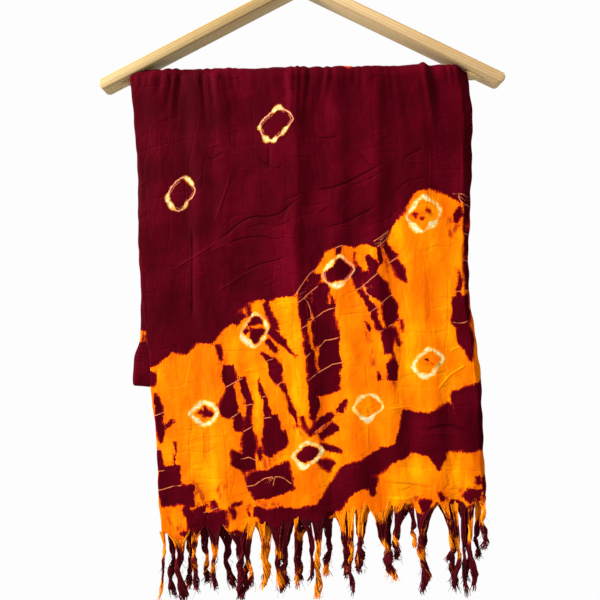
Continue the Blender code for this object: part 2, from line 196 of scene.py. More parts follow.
def hanger_arm(name, side, carries):
    """Saw, mitre and round one arm; side is 1 for right and -1 for left."""
    length = (ARM_REACH - ARM_THICK / 2 + ARM_OVERRUN) / math.cos(ARM_LEAN) + ARM_THICK / 2
    along = length / 2 * math.cos(ARM_LEAN) - ARM_OVERRUN
    height = APEX_RISE - ARM_TALL / 2 - ARM_SLOPE * along
    bpy.ops.mesh.primitive_cube_add(
        size=1, location=(side * along * MM, 0, (BAR_Z + height) * MM),
        rotation=(0, side * ARM_LEAN, 0), scale=(length * MM, ARM_DEEP * MM, ARM_THICK * MM))
    arm = begin(name)
    saw((side * MITRE_GAP / 2 * MM, 0, 0), (side, 0, 0), clear_inner=True)
    flat = BAR_Z + APEX_RISE - ARM_SLOPE * APEX_FLAT
    saw((0, 0, flat * MM), (0, 0, 1), clear_outer=True)
    bpy.ops.mesh.select_mode(type="EDGE")
    bpy.ops.mesh.select_all(action="DESELECT")
    for edge in bmesh.from_edit_mesh(arm.data).edges:
        start, end = (corner.co for corner in edge.verts)
        edge.select_set(min(abs(start.x), abs(end.x)) > (ARM_REACH - ARM_END) * MM
                        and abs(start.y - end.y) > ARM_DEEP / 2 * MM)
    bpy.ops.mesh.bevel(offset=ARM_TIP * MM, segments=8, affect="EDGES")
    bpy.ops.object.mode_set(mode="OBJECT")
    rounding = arm.modifiers.new("edges", "BEVEL")
    rounding.width = ARM_EDGE * MM
    rounding.segments = 4
    rounding.limit_method = "ANGLE"
    rounding.angle_limit = math.radians(50)
    bpy.ops.object.modifier_apply(modifier=rounding.name)
    close()
    arm.data.materials.append(varnished[name])
    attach(arm, "root")
    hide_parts(carries)


hanger_arm("pine_arm_left", -1, "hanger_arm_left")
hanger_arm("pine_arm_right", 1, "hanger_arm_right")


# Trouser bar. A turned pine dowel just under 10 mm thick, cut at the arms' slope and glued
# and pinned between them.
BAR_CLEAR = 0.6           # left between each end and the arm
BAR_BLANK = 420.0         # length before its ends are cut

bpy.ops.mesh.primitive_cylinder_add(
    vertices=48, radius=BAR_RADIUS * MM, depth=BAR_BLANK * MM, location=(0, 0, BAR_Z * MM),
    rotation=(0, math.pi / 2, 0))
bar = begin("pine_bar")
for side in (-1, 1):
    saw((side * (UNDERSIDE / ARM_SLOPE - BAR_CLEAR) * MM, 0, BAR_Z * MM),
        (side * ARM_SLOPE, 0, 1), clear_outer=True)
close()
bar.data.materials.append(varnished["pine_bar"])
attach(bar, "root")
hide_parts("hanger_bar")


# Hook. Steel wire 3.5 mm thick, bent cold round a former, with its end rounded over. It is
# zinc plated and screws into the flat where the arms meet.
HOOK_WIRE = 3.5
HOOK_BEND = 20.0          # radius of the bend, to the middle of the wire
HOOK_RETURN = 12.0        # radius of the curve that brings the wire back to the middle
HOOK_TIP = 205.0          # where the bend ends, in degrees round from the right
HOOK_FOOT = -61.7         # where it stands on the arms
PLATE_CLOUD = 4.17        # mm across a duller patch of the plating
BEND_Z = HOOK_WIRE / 2 - HOOK_BEND
RETURN_ANGLE = math.acos(HOOK_RETURN / (HOOK_BEND + HOOK_RETURN))
RETURN_Z = BEND_Z - (HOOK_BEND + HOOK_RETURN) * math.sin(RETURN_ANGLE)
TIP_STEP = 0.5 * MM       # the wire's end is rounded in three such steps
TIP_TURN = math.radians(HOOK_TIP + 90)

bpy.ops.mesh.primitive_circle_add(vertices=20, radius=HOOK_WIRE / 2 * MM, fill_type="NGON",
                                  location=(0, 0, HOOK_FOOT * MM))
hook = begin("wire_hook")
bpy.ops.mesh.extrude_region_move(
    TRANSFORM_OT_translate={"value": (0, 0, (RETURN_Z - HOOK_FOOT) * MM)})
bpy.ops.mesh.spin(steps=12, angle=-RETURN_ANGLE, center=(HOOK_RETURN * MM, 0, RETURN_Z * MM),
                  axis=(0, 1, 0))
bpy.ops.mesh.spin(steps=44, angle=math.radians(HOOK_TIP) + RETURN_ANGLE,
                  center=(0, 0, BEND_Z * MM), axis=(0, 1, 0))
for share in (0.9, 0.66, 0.3):
    bpy.ops.mesh.extrude_region_move(TRANSFORM_OT_translate={"value": (0, 0, 0)})
    bpy.ops.transform.resize(value=(share, share, share))
    bpy.ops.transform.translate(
        value=(TIP_STEP * math.cos(TIP_TURN), 0, TIP_STEP * math.sin(TIP_TURN)))
bpy.ops.mesh.select_all(action="SELECT")
bpy.ops.mesh.remove_doubles(threshold=0.00001)
bpy.ops.mesh.normals_make_consistent(inside=False)
close(40)

# Zinc plated steel, drawn and bright: a cool grey mirror, a little cloudy.
plated, tree, shader = new_finish("zinc_plated_steel")
where = node("TexCoord", out="Object")
cloud = node("TexNoise", {"Vector": where, "Scale": 1 / (PLATE_CLOUD * MM), "Detail": 3})
grey = node("ValToRGB", (cloud,), stops=[(0.3, "#9A9DA0"), (0.7, "#BDBEBC")])
feed(shader, {"Base Color": grey, "Roughness": node("MapRange", (cloud, 0, 1, 0.2, 0.38)),
              "Metallic": 1.0})
hook.data.materials.append(plated)
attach(hook, "root")
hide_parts("hanger_hook")


# Stole. One length of rayon crepe, 0.74 m wide and 1.70 m long, knotted into fringe at both
# ends. It is folded once along its length and once across, and laid over the bar as four
# plies. The cloth was tied and dyed twice, orange and then maroon.
SHEET = 0.5               # thickness of the cloth as drawn
FOLD_STRENGTH = 1.5       # folds of the thin sheet, against the same folds in a thicker wall
PLY_B_SHARE = 0.3         # how much of the outer ply's folds the ply below it shares
PLIES = (5.8, 7.2, 8.6, 10.0)     # middle of each ply from the middle of the bar
TURN_MIDDLE = (PLIES[1] + PLIES[2]) / 2     # what the cross fold turns about
FOLD_REACH = 0.7          # how far the lengthwise fold rounds out beyond its plies
SELVEDGE_STEP = 3.5       # how far each ply's selvedge stands in from that of the ply below
SELVEDGE_TAPER = 0.7      # how much of that is gone at the hem
UNDER_INSET = 2.5         # how far the under plies' fold stands in from the outer one
SETTLE = 4.0              # how far each drop closes in under the bar
SETTLE_DEPTH = 60.0       # depth where it has done so
FOLD_MIDDLE = 180.0       # depth of the middle heights in the tables of folds
FOLD_TALL = 4.5           # height at which a fold's top is painted as light as it gets
APRON = 0.5               # share of a tassel's neck that the weave still holds together
GATHER = 1.8              # rise of the small gathers where the cloth bunches over the bar
GATHER_END = 90.0         # depth below which there are none
TUCK_SPARE = 2.0          # room for folds between the outer ply and the arms
HEM_WAVER = 0.7           # how far the hem strays up and down
FAR_OFF = 9.0             # stands for a line or crease too far away to show
CREASE_REACH = 6.0        # mm either side of a crease that carry it
PEAK_AT, PEAK_RISE, PEAK_WIDE = 131.0, 2.6, 4.5   # the one gather that stands up sharply
BACK_DROP = (331.0, 366.0)        # cross fold below the bar, at the left and at the right

# Depth below the bar, left edge, right edge
FRONT_EDGES = [
    (0, -185, 179), (17, -184, 182), (54, -182, 185), (83, -180, 184), (111, -177, 183),
    (167, -180, 180), (212, -178, 178), (260, -175, 181), (301, -170, 187), (336, -169, 190),
    (391, -164, 191), (446, -163, 193), (490, -160, 194),
]
BACK_EDGES = [
    (0, -185, 179), (100, -183, 177), (180, -183, 175), (260, -182, 172), (284, -184, 171),
    (300, -189, 170), (315, -191, 169), (366, -192, 168),
]
# Share of the width from the left, drop of the hem below the bar
HEM = [
    (0, 490), (0.1, 486), (0.23, 483), (0.36, 479), (0.48, 475), (0.55, 470), (0.62, 463),
    (0.73, 461), (0.85, 463), (0.97, 461), (1, 458),
]
# Left and right end of the roots, middle of the neck and its depth below the hem, middle of
# the tail and its depth, bulk of the end, and the dye from the hem down: orange, brown, maroon
FRONT_TASSELS = [
    (-162, -156, -156, 14, -162, 74, 0.8, "OOOOMMMOOO"),
    (-156, -128, -139, 23, -139, 76, 1, "OOBMMMMMMM"),
    (-127, -114, -124, 19, -122, 69, 1.1, "MOMOMBBMMM"),
    (-112, -94, -102, 26, -103, 68, 0.8, "MMMOOMOMMM"),
    (-93, -67, -75, 28, -75, 82, 1, "OMMMMMMMMM"), (-66, -57, -67, 42, -62, 70, 1.2, "OOBMMMOOMM"),
    (-56, -47, -49, 25, -50, 74, 1.1, "OOBBOOOOOO"),
    (-45, -27, -33, 40, -33, 77, 1.1, "MMMMOMMOOM"), (-26, -16, -27, 42, -26, 68, 0.8, "MMMMMMBM"),
    (-16, -11, -15, 24, -14, 76, 1.5, "OBBMMMMBOB"), (-10, 1, 3, 33, 0, 69, 0.7, "MMMMMMMM"),
    (2, 19, 10, 36, 8, 89, 1.1, "MMMOOOOBOO"), (29, 40, 37, 31, 38, 62, 1, "OOOMBMMM"),
    (41, 51, 45, 37, 44, 94, 0.9, "OOOMOOMMMM"), (52, 63, 55, 33, 52, 74, 1.5, "OOOBMMBM"),
    (64, 90, 79, 41, 91, 85, 1.3, "OOBMMOMMMO"), (91, 103, 95, 32, 93, 55, 1, "OMMMOM"),
    (104, 114, 113, 27, 114, 50, 1, "BMMMOO"), (115, 141, 121, 30, 123, 97, 1, "BMMBMOMMMM"),
    (142, 151, 153, 35, 150, 65, 1.5, "OBBMOOMM"), (153, 162, 160, 38, 158, 98, 1.2, "OBBMOOMMMM"),
    (163, 170, 166, 40, 168, 103, 1, "MMMMMMMM"), (171, 183, 174, 25, 175, 97, 1.3, "BMOOMMMMMM"),
    (184, 193, 189, 15, 186, 59, 2.1, "BOOOMMMM"),
]
UNDER_TASSELS = [
    (-156, -140, -149, 23, -151, 75, 1, "MMMMMMMM"),
    (-139, -123, -130, 23, -132, 69, 1, "MMBMMMMB"),
    (-122, -106, -114, 27, -112, 64, 1, "MMMMOBMM"),
    (-104, -80, -89, 25, -86, 70, 0.9, "MMMMMMMM"), (-79, -59, -69, 35, -69, 75, 1, "MMMMMBMM"),
    (-58, -37, -47, 38, -47, 68, 1, "OOOBOOOB"), (-36, -13, -28, 44, -28, 75, 1, "MMMBMMMM"),
    (-12, 8, -12, 36, -12, 73, 1, "MMOMMMBM"), (9, 27, 21, 29, 19, 71, 1.2, "MMMMMMBO"),
    (28, 47, 41, 39, 43, 78, 1, "OBMMMMBM"), (48, 72, 56, 44, 56, 76, 1, "OOMMBMMM"),
    (73, 95, 85, 47, 87, 83, 1, "OBMMMMMO"), (96, 115, 95, 42, 96, 66, 1, "OMMMMMM"),
    (117, 139, 125, 43, 126, 87, 1, "BMMMMMMB"), (140, 160, 158, 50, 155, 96, 1, "MMMBMMMM"),
    (161, 180, 172, 45, 172, 90, 1, "MMMMMMMM"), (181, 193, 183, 40, 183, 67, 1, "BOOMMMMM"),
]
DYE_VALUES = {"O": 1.0, "B": 0.5, "M": 0.0}
# Share of the width, then how far the cloth stands out at the bar, half way and at the hem
FRONT_FOLDS = [
    (0, 1.5, 1.6, 1.2), (0.03, 1.5, 1.8, 1), (0.062, 1.9, 1.6, 1.4), (0.095, 1.1, 1, 1.6),
    (0.122, 0.5, 0.6, 1), (0.15, 0.1, 0.5, 0.6), (0.182, 0.9, 1.4, 1.4), (0.201, 1.1, 1.1, 1.6),
    (0.222, 1, 0.9, 1.2), (0.262, 2, 1.3, 0.6), (0.3, 1.4, 0.8, 1.2), (0.34, 0.9, 0.9, 2),
    (0.385, 1.2, 1.6, 1.8), (0.43, 1.9, 2.4, 1.4), (0.46, 2.2, 3, 1.8), (0.485, 2.8, 3.4, 1.4),
    (0.51, 1.8, 2, 0.8), (0.53, 1.4, 1.3, 0.3), (0.565, 1, 1.1, 1.4), (0.606, 1.9, 2.2, 2.6),
    (0.622, 1.9, 2.1, 2.4), (0.645, 1.2, 1.4, 1.8), (0.69, 1.3, 1.8, 0.8), (0.735, 2.5, 2.8, 1.8),
    (0.758, 1.8, 1.7, 1.2), (0.778, 1.3, 1.1, 0.6), (0.815, 1.6, 2.2, 2.2), (0.85, 2, 2.4, 2),
    (0.868, 2.2, 2.5, 1.6), (0.905, 1.2, 1.5, 0.3), (0.955, 0.9, 0.9, 1.2), (1, 1.2, 1.6, 0.3),
]
BACK_FOLDS = [
    (0, 0.3, 0.3, 0), (0.07, 1, 1.8, 0), (0.14, 0.4, 0.4, 0), (0.22, 1, 2.2, 0),
    (0.3, 0.5, 0.6, 0), (0.38, 1, 1.6, 0), (0.45, 0.6, 2.6, 0), (0.53, 0.8, 0.3, 0),
    (0.6, 0.5, 2, 0), (0.68, 0.9, 1, 0), (0.76, 0.8, 2.4, 0), (0.84, 0.5, 0.4, 0),
    (0.92, 1.1, 1.8, 0), (1, 0.3, 0.3, 0),
]
# Creases pressed in by storage: height of the ridge, below 0 for a groove, and its width,
# then its points as (across, drop below the bar)
FRONT_CREASES = [
    (0.5, 1.4, [(-141, 206), (-131, 200), (-122, 195), (-108, 187), (-92, 176)]),
    (-0.9, 1.6, [(-97, 179), (-80, 167), (-70, 158), (-60, 153), (-51, 151), (-38, 152),
     (-26, 149), (-18, 143), (-11, 137), (-2, 132)]),
    (-0.5, 1.4, [(-27, 158), (-21, 149), (-15, 142)]), (0.4, 1.3, [(-100, 187), (-85, 181)]),
    (-0.7, 1.5, [(-86, 182), (-75, 177), (-63, 174), (-47, 173), (-31, 176), (-17, 174)]),
    (-0.45, 1.4, [(-67, 166), (-56, 162), (-44, 159), (-33, 163), (-19, 159), (-9, 153)]),
    (0.5, 1.4, [(-95, 231), (-81, 223), (-69, 215), (-55, 208)]),
    (-0.7, 1.5, [(-67, 212), (-54, 205), (-45, 202), (-29, 199), (-19, 194)]),
    (0.4, 2.2, [(-79, 103), (-81, 115), (-88, 134), (-97, 157)]),
    (0.4, 1.4, [(-116, 114), (-109, 104)]),
    (-0.6, 1.6, [(-109, 88), (-98, 88), (-91, 85), (-86, 82)]),
    (0.4, 1.5, [(-103, 75), (-95, 73), (-86, 70)]),
    (-0.6, 1.8, [(-51, 86), (-42, 93), (-30, 100), (-25, 99), (-22, 94)]),
    (-0.5, 1.5, [(-23, 137), (-14, 132), (-3, 128)]),
    (-0.6, 2.6, [(-121, 157), (-121, 188), (-122, 220), (-122, 262)]),
    (-0.45, 1.8, [(-37, 74), (-37, 87), (-37, 101)]), (0.35, 1.6, [(-180, 119), (-169, 110)]),
    (-0.7, 1.5, [(11, 67), (28, 68), (40, 66)]), (0.5, 1.5, [(71, 66), (77, 64), (83, 63)]),
    (-1, 1.7, [(13, 124), (33, 121), (46, 117), (56, 112), (70, 105), (87, 96)]),
    (-0.6, 1.5, [(52, 119), (69, 114), (80, 108), (88, 104)]),
    (-0.8, 1.6, [(21, 164), (35, 162), (48, 158), (58, 152), (69, 148), (79, 141)]),
    (-0.7, 1.6, [(109, 90), (120, 85), (129, 81)]), (0.35, 1.5, [(110, 95), (122, 95), (134, 95)]),
    (-0.45, 1.6, [(99, 127), (107, 120), (114, 115), (134, 112)]),
    (0.35, 1.2, [(137, 80), (138, 102), (137, 123)]),
    (0.35, 1.5, [(11, 150), (17, 146), (23, 141)]), (-0.35, 2, [(59, 81), (67, 91), (75, 101)]),
    (0.45, 1.2, [(171, 51), (172, 90), (170, 140)]),
    (0.45, 1.2, [(176, 51), (177, 90), (175, 142)]),
    (0.8, 1.8, [(141, 342), (147, 334), (156, 325), (166, 319), (174, 314)]),
    (0.5, 1.6, [(155, 301), (161, 297), (167, 295)]),
    (0.5, 1.6, [(85, 362), (99, 360), (114, 359), (125, 364), (135, 364), (142, 362)]),
    (-0.7, 3, [(127, 386), (141, 381), (157, 381), (175, 387)]),
    (0.5, 1.5, [(121, 390), (139, 388), (153, 389), (169, 391)]),
    (0.3, 1, [(65, 376), (65, 390), (64, 404)]),
    (0.35, 1.2, [(-114, 378), (-114, 398), (-114, 415)]),
    (-0.5, 2.4, [(79, 440), (118, 444), (136, 447)]),
    (0.5, 2.4, [(82, 457), (105, 459), (124, 453)]),
]
BACK_CREASES = [
    (-0.8, 1.6, [(-150, 60), (-110, 80), (-70, 84), (-20, 70)]),
    (0.5, 1.5, [(-96, 96), (-64, 102), (-30, 92)]),
    (-0.7, 1.6, [(-10, 120), (30, 132), (75, 126), (110, 108)]),
    (-0.9, 1.7, [(-130, 190), (-90, 176), (-40, 182), (10, 168)]),
    (0.45, 1.5, [(-60, 204), (-30, 202), (0, 190)]),
    (-0.5, 1.5, [(60, 210), (100, 224), (150, 220)]),
    (0.5, 1.5, [(-60, 262), (-20, 252), (30, 260)]), (-0.5, 2.4, [(40, 40), (42, 150), (38, 300)]),
    (0.4, 1.4, [(-70, 30), (-72, 140), (-68, 310)]), (-0.5, 1.6, [(90, 60), (120, 52), (150, 56)]),
    (0.4, 1.4, [(-150, 140), (-128, 132), (-104, 136)]),
]


def eased(part):
    part = np.clip(part, 0, 1)
    return part * part * (3 - 2 * part)


def through(table):
    """Smooth curves through the columns of a table, as functions of its first column."""
    at, *columns = np.array(table, float).T

    def curve(value):
        slope = np.gradient(value, at)

        def read(place):
            place = np.clip(place, at[0], at[-1])
            n = np.clip(np.searchsorted(at, place, side="right") - 1, 0, len(at) - 2)
            span = at[n + 1] - at[n]
            t = (place - at[n]) / span
            return ((2 * t ** 3 - 3 * t ** 2 + 1) * value[n]
                    + (t ** 3 - 2 * t ** 2 + t) * span * slope[n]
                    + (3 * t ** 2 - 2 * t ** 3) * value[n + 1]
                    + (t ** 3 - t ** 2) * span * slope[n + 1])
        return read
    return [curve(value) for value in columns]


hem_drop, = through(HEM)
front_sides, back_sides = through(FRONT_EDGES), through(BACK_EDGES)
front_folds, back_folds = through(FRONT_FOLDS), through(BACK_FOLDS)


def settle(depth):
    return SETTLE * eased(depth / SETTLE_DEPTH)


def standing(folds, share, depth, drop):
    """How far the outer ply's folds stand out at a share of the width and a depth."""
    bar_height, middle, end = (fold(share) for fold in folds)
    upper = bar_height + (middle - bar_height) * eased(depth / FOLD_MIDDLE)
    lower = middle + (end - middle) * eased((depth - FOLD_MIDDLE) / (drop - FOLD_MIDDLE))
    return FOLD_STRENGTH * np.maximum(np.where(depth < FOLD_MIDDLE, upper, lower), 0.05)


def apron(share, table):
    """How far the weave reaches below the hem, where the threads of each tassel run together."""
    left_edge, right_edge = FRONT_EDGES[-1][1:]
    x = left_edge + share * (right_edge - left_edge)
    extra = 0 * share
    for left, right, neck, neck_drop, *_ in table:
        inner = np.minimum((x - left) / max(neck - left, 3), (right - x) / max(right - neck, 3))
        reach = APRON * min(neck_drop, right - left)
        extra = np.maximum(extra, reach * (1 - (1 - np.clip(1.2 * inner, 0, 1)) ** 1.6))
    return extra


# Each of the next four says where a place on the stole's middle line lies: front to back,
# height, the direction outwards, length of cloth below the bar's top, and height of the folds.
def down_front(table):
    """A front drop that ends in one of the fringes."""
    def on_front(row, share):
        waver = HEM_WAVER * np.sin(share * 131) * np.sin(share * 37)
        drop = hem_drop(share) + waver + apron(share, table)
        depth = row * drop
        return settle(depth), -depth, -1.0, 0.0, depth, standing(front_folds, share, depth, drop)
    return on_front


def on_bar(turn, share):
    """Over the bar; the turn is in degrees, front to back."""
    part = turn / 180
    angle, zero = math.pi * part, 0 * share
    front, back = front_folds[0](share), back_folds[0](share)
    return zero, zero, -math.cos(angle), math.sin(angle), zero, front + (back - front) * part


def on_back(row, share):
    drop = BACK_DROP[0] + share * (BACK_DROP[1] - BACK_DROP[0])
    depth = row * drop
    return -settle(depth), -depth, 1.0, 0.0, depth, standing(back_folds, share, depth, drop)


def on_turn(turn, share):
    """The cross fold at the foot of the back drop, from its outer side round to its inner."""
    y, z, _, _, depth, _ = on_back(1, share)
    angle = math.radians(turn)
    return y + TURN_MIDDLE, z, math.cos(angle), -math.sin(angle), depth, 0 * share


def segments(x, drop, points):
    """Along each segment of a chain and aside of it, its length, and how far off it is."""
    for (x1, d1, *_), (x2, d2, *_) in zip(points, points[1:]):
        span = math.dist((x1, d1), (x2, d2))
        along = ((x - x1) * (x2 - x1) + (drop - d1) * (d2 - d1)) / span
        aside = ((x - x1) * (d2 - d1) - (drop - d1) * (x2 - x1)) / span
        yield along, aside, span, np.hypot(aside, along - np.clip(along, 0, span))


def to_lines(x, drop, points):
    """Distance to a chain of segments, and the share of the chain's length where it is nearest."""
    best, signed, where = np.full(x.shape, 1e9), np.zeros(x.shape), np.zeros(x.shape)
    parts = list(segments(x, drop, points))
    total, done = sum(part[2] for part in parts), 0.0
    for n, (along, aside, span, away) in enumerate(parts):
        nearer = away < best
        best = np.where(nearer, away, best)
        signed = np.where(nearer, away * np.sign(aside), signed)
        # the share runs on beyond both ends of the chain
        along = np.clip(along, 0 if n else -99, span + 99 * (n == len(parts) - 1))
        where = np.where(nearer, (done + along) / total, where)
        done += span
    return best, signed, where


def apart(creases):
    """Share the creases out into three sets, so that close neighbours land in different ones."""
    sets = [[], [], []]
    for crease in creases:
        room = [min((math.dist(a, b) for other in one for a in crease[2] for b in other[2]),
                    default=999) for one in sets]
        sets[room.index(max(room))].append(crease)
    return sets


def creased(x, drop, creases):
    """Soft ridge or groove along each crease, dying away at its ends, then for the fine part of
    the relief the distance to the nearest crease of each set, in widths, and its height there."""
    rise = np.zeros(x.shape)
    nearest, high = np.full((*x.shape, 3), FAR_OFF), np.zeros((*x.shape, 3))
    for number, one in enumerate(apart(creases)):
        near, tall = nearest[..., number], high[..., number]
        for height, width, points in one:
            _, side, where = to_lines(x, drop, points)
            fade = eased((where + 0.02) / 0.2) * eased((1.02 - where) / 0.2)
            rise += 0.45 * height * fade * np.exp(-(side / (1.6 * width)) ** 2)
            nearer = (np.abs(side) / width < np.abs(near)) & (np.abs(side) < CREASE_REACH)
            near[nearer] = (side / width)[nearer]
            tall[nearer] = (height * fade * eased(2 - 2 * np.abs(side) / CREASE_REACH))[nearer]
    return rise, nearest, high


def crinkled(x, drop, seed):
    """Fine unevenness of crepe that has been folded and worn."""
    rise = [0.42 * noise.noise((a / 21, b / 34, seed))
            + 0.2 * noise.noise((a / 8, b / 11, seed + 9))
            for a, b in zip(x.ravel(), drop.ravel())]
    return np.array(rise).reshape(x.shape)


def gathered(x, depth):
    """Small uneven gathers where the cloth bunches over the bar; depth is below 0 over the top."""
    x = x + 0.2 * np.maximum(depth, 0) * np.sin(x / 31 + 0.5)
    wave = np.abs(np.sin(np.pi * (x + 4.6 * np.sin(x / 13) + 3.4 * np.sin(x / 5.3 + 1)) / 12.5))
    swell = 0.65 + 0.35 * np.sin(x / 23 + 0.8)
    reach = 46 + 30 * np.sin(x / 17 + 2)
    peak = PEAK_RISE * np.exp(-((x - PEAK_AT) / PEAK_WIDE) ** 2) * (1 - eased((depth - 12) / 70))
    return GATHER * swell * (wave ** 0.8 - 0.4) * (1 - eased(depth / reach)) + peak


def tuck(height):
    """Furthest the cloth reaches outwards at a height above the bar, just under the arms."""
    return (UNDERSIDE - BAR_CLEAR - height) / ARM_SLOPE


def ply_pair(stations, columns, creases, seed):
    """Points of two plies joined by the fold at their left, as arrays of rows and columns.

    Each station is a place function with its value, the distance of both plies from the
    spine, how much of the folds shows, the side edges and the selvedges' insets.
    """
    outer, inner = np.linspace(1, 0, columns[0]), np.linspace(0, 1, columns[1])
    bend = np.linspace(0, 1, 8)[1:-1]
    share = np.concatenate([outer, 0 * bend, inner])
    across = np.concatenate([0 * outer, bend, 0 * inner + 1])
    ease = (1 - np.cos(np.pi * across)) / 2
    rows = []
    for place, value, plies, folded, sides, inset, insets in stations:
        y, z, out_y, out_z, depth, height = place(value, share)
        up = max(out_z, 0.0)
        out = (plies[0] + (plies[1] - plies[0]) * ease
               + folded * height * (1 - (1 - PLY_B_SHARE) * ease))
        taper = 1 - SELVEDGE_TAPER * depth / HEM[0][1]
        step_in = (insets[0] + (insets[1] - insets[0]) * ease) * SELVEDGE_STEP * taper
        limit = tuck(z + (PLIES[3] + TUCK_SPARE) * up)
        left = np.maximum(sides[0](depth) + inset + FOLD_REACH + 0.5,
                          -limit + inset + FOLD_REACH + 0.5)
        right = np.minimum(sides[1](depth) - step_in, limit)
        x = left + share * (right - left) - FOLD_REACH * np.sin(np.pi * across)
        drop = np.where(depth > 0, depth, -PLIES[3] * math.asin(min(up, 1.0)))
        rows.append(np.broadcast_arrays(x, y, z, out_y, out_z, drop, out, x - left, folded,
                                        height))
    x, y, z, out_y, out_z, drop, out, from_fold, folded, stands = np.array(rows).swapaxes(0, 1)
    top_ply = 1 - ease
    edge_wave = 0.5 * np.sin(drop / 9.0 + seed) + 0.4 * np.sin(drop / 4.1 + 2 * seed)
    x = x + edge_wave * (eased((share - 0.985) / 0.015) - eased((0.01 - share) / 0.01) * 0.6)
    rise, crease, crease_high = creased(x, drop, creases)
    shown = folded * top_ply
    rise = rise + gathered(x, drop) * (drop < GATHER_END)
    out = out + (crinkled(x, drop, seed) + shown * rise)
    # painted_fold_light carries how far the folds stand out, for painted light on their tops
    return (x, y + out_y * out, z + out_z * out, drop, from_fold * np.where(across > 0.5, -1, 1),
            {"crease": crease, "crease_high": crease_high * shown[..., None],
             "painted_fold_light": np.clip(stands / FOLD_TALL, 0, 1)})


# Edge between maroon above and orange below, as (across, drop)
FRONT_EDGE = [
    (-200, 318), (-179, 313), (-166, 311), (-150, 303), (-146, 297), (-127, 297), (-119, 287),
    (-102, 288), (-95, 281), (-90, 275), (-80, 267), (-70, 253), (-60, 243), (-52, 240),
    (-46, 240), (-38, 243), (-26, 237), (-13, 236), (-6, 229), (13, 207), (22, 192), (31, 186),
    (44, 183), (53, 187), (60, 184), (66, 183), (75, 185), (85, 183), (91, 177), (96, 161),
    (103, 154), (109, 149), (112, 140), (119, 130), (126, 126), (136, 124), (147, 128), (157, 133),
    (167, 140), (184, 144), (210, 146),
]
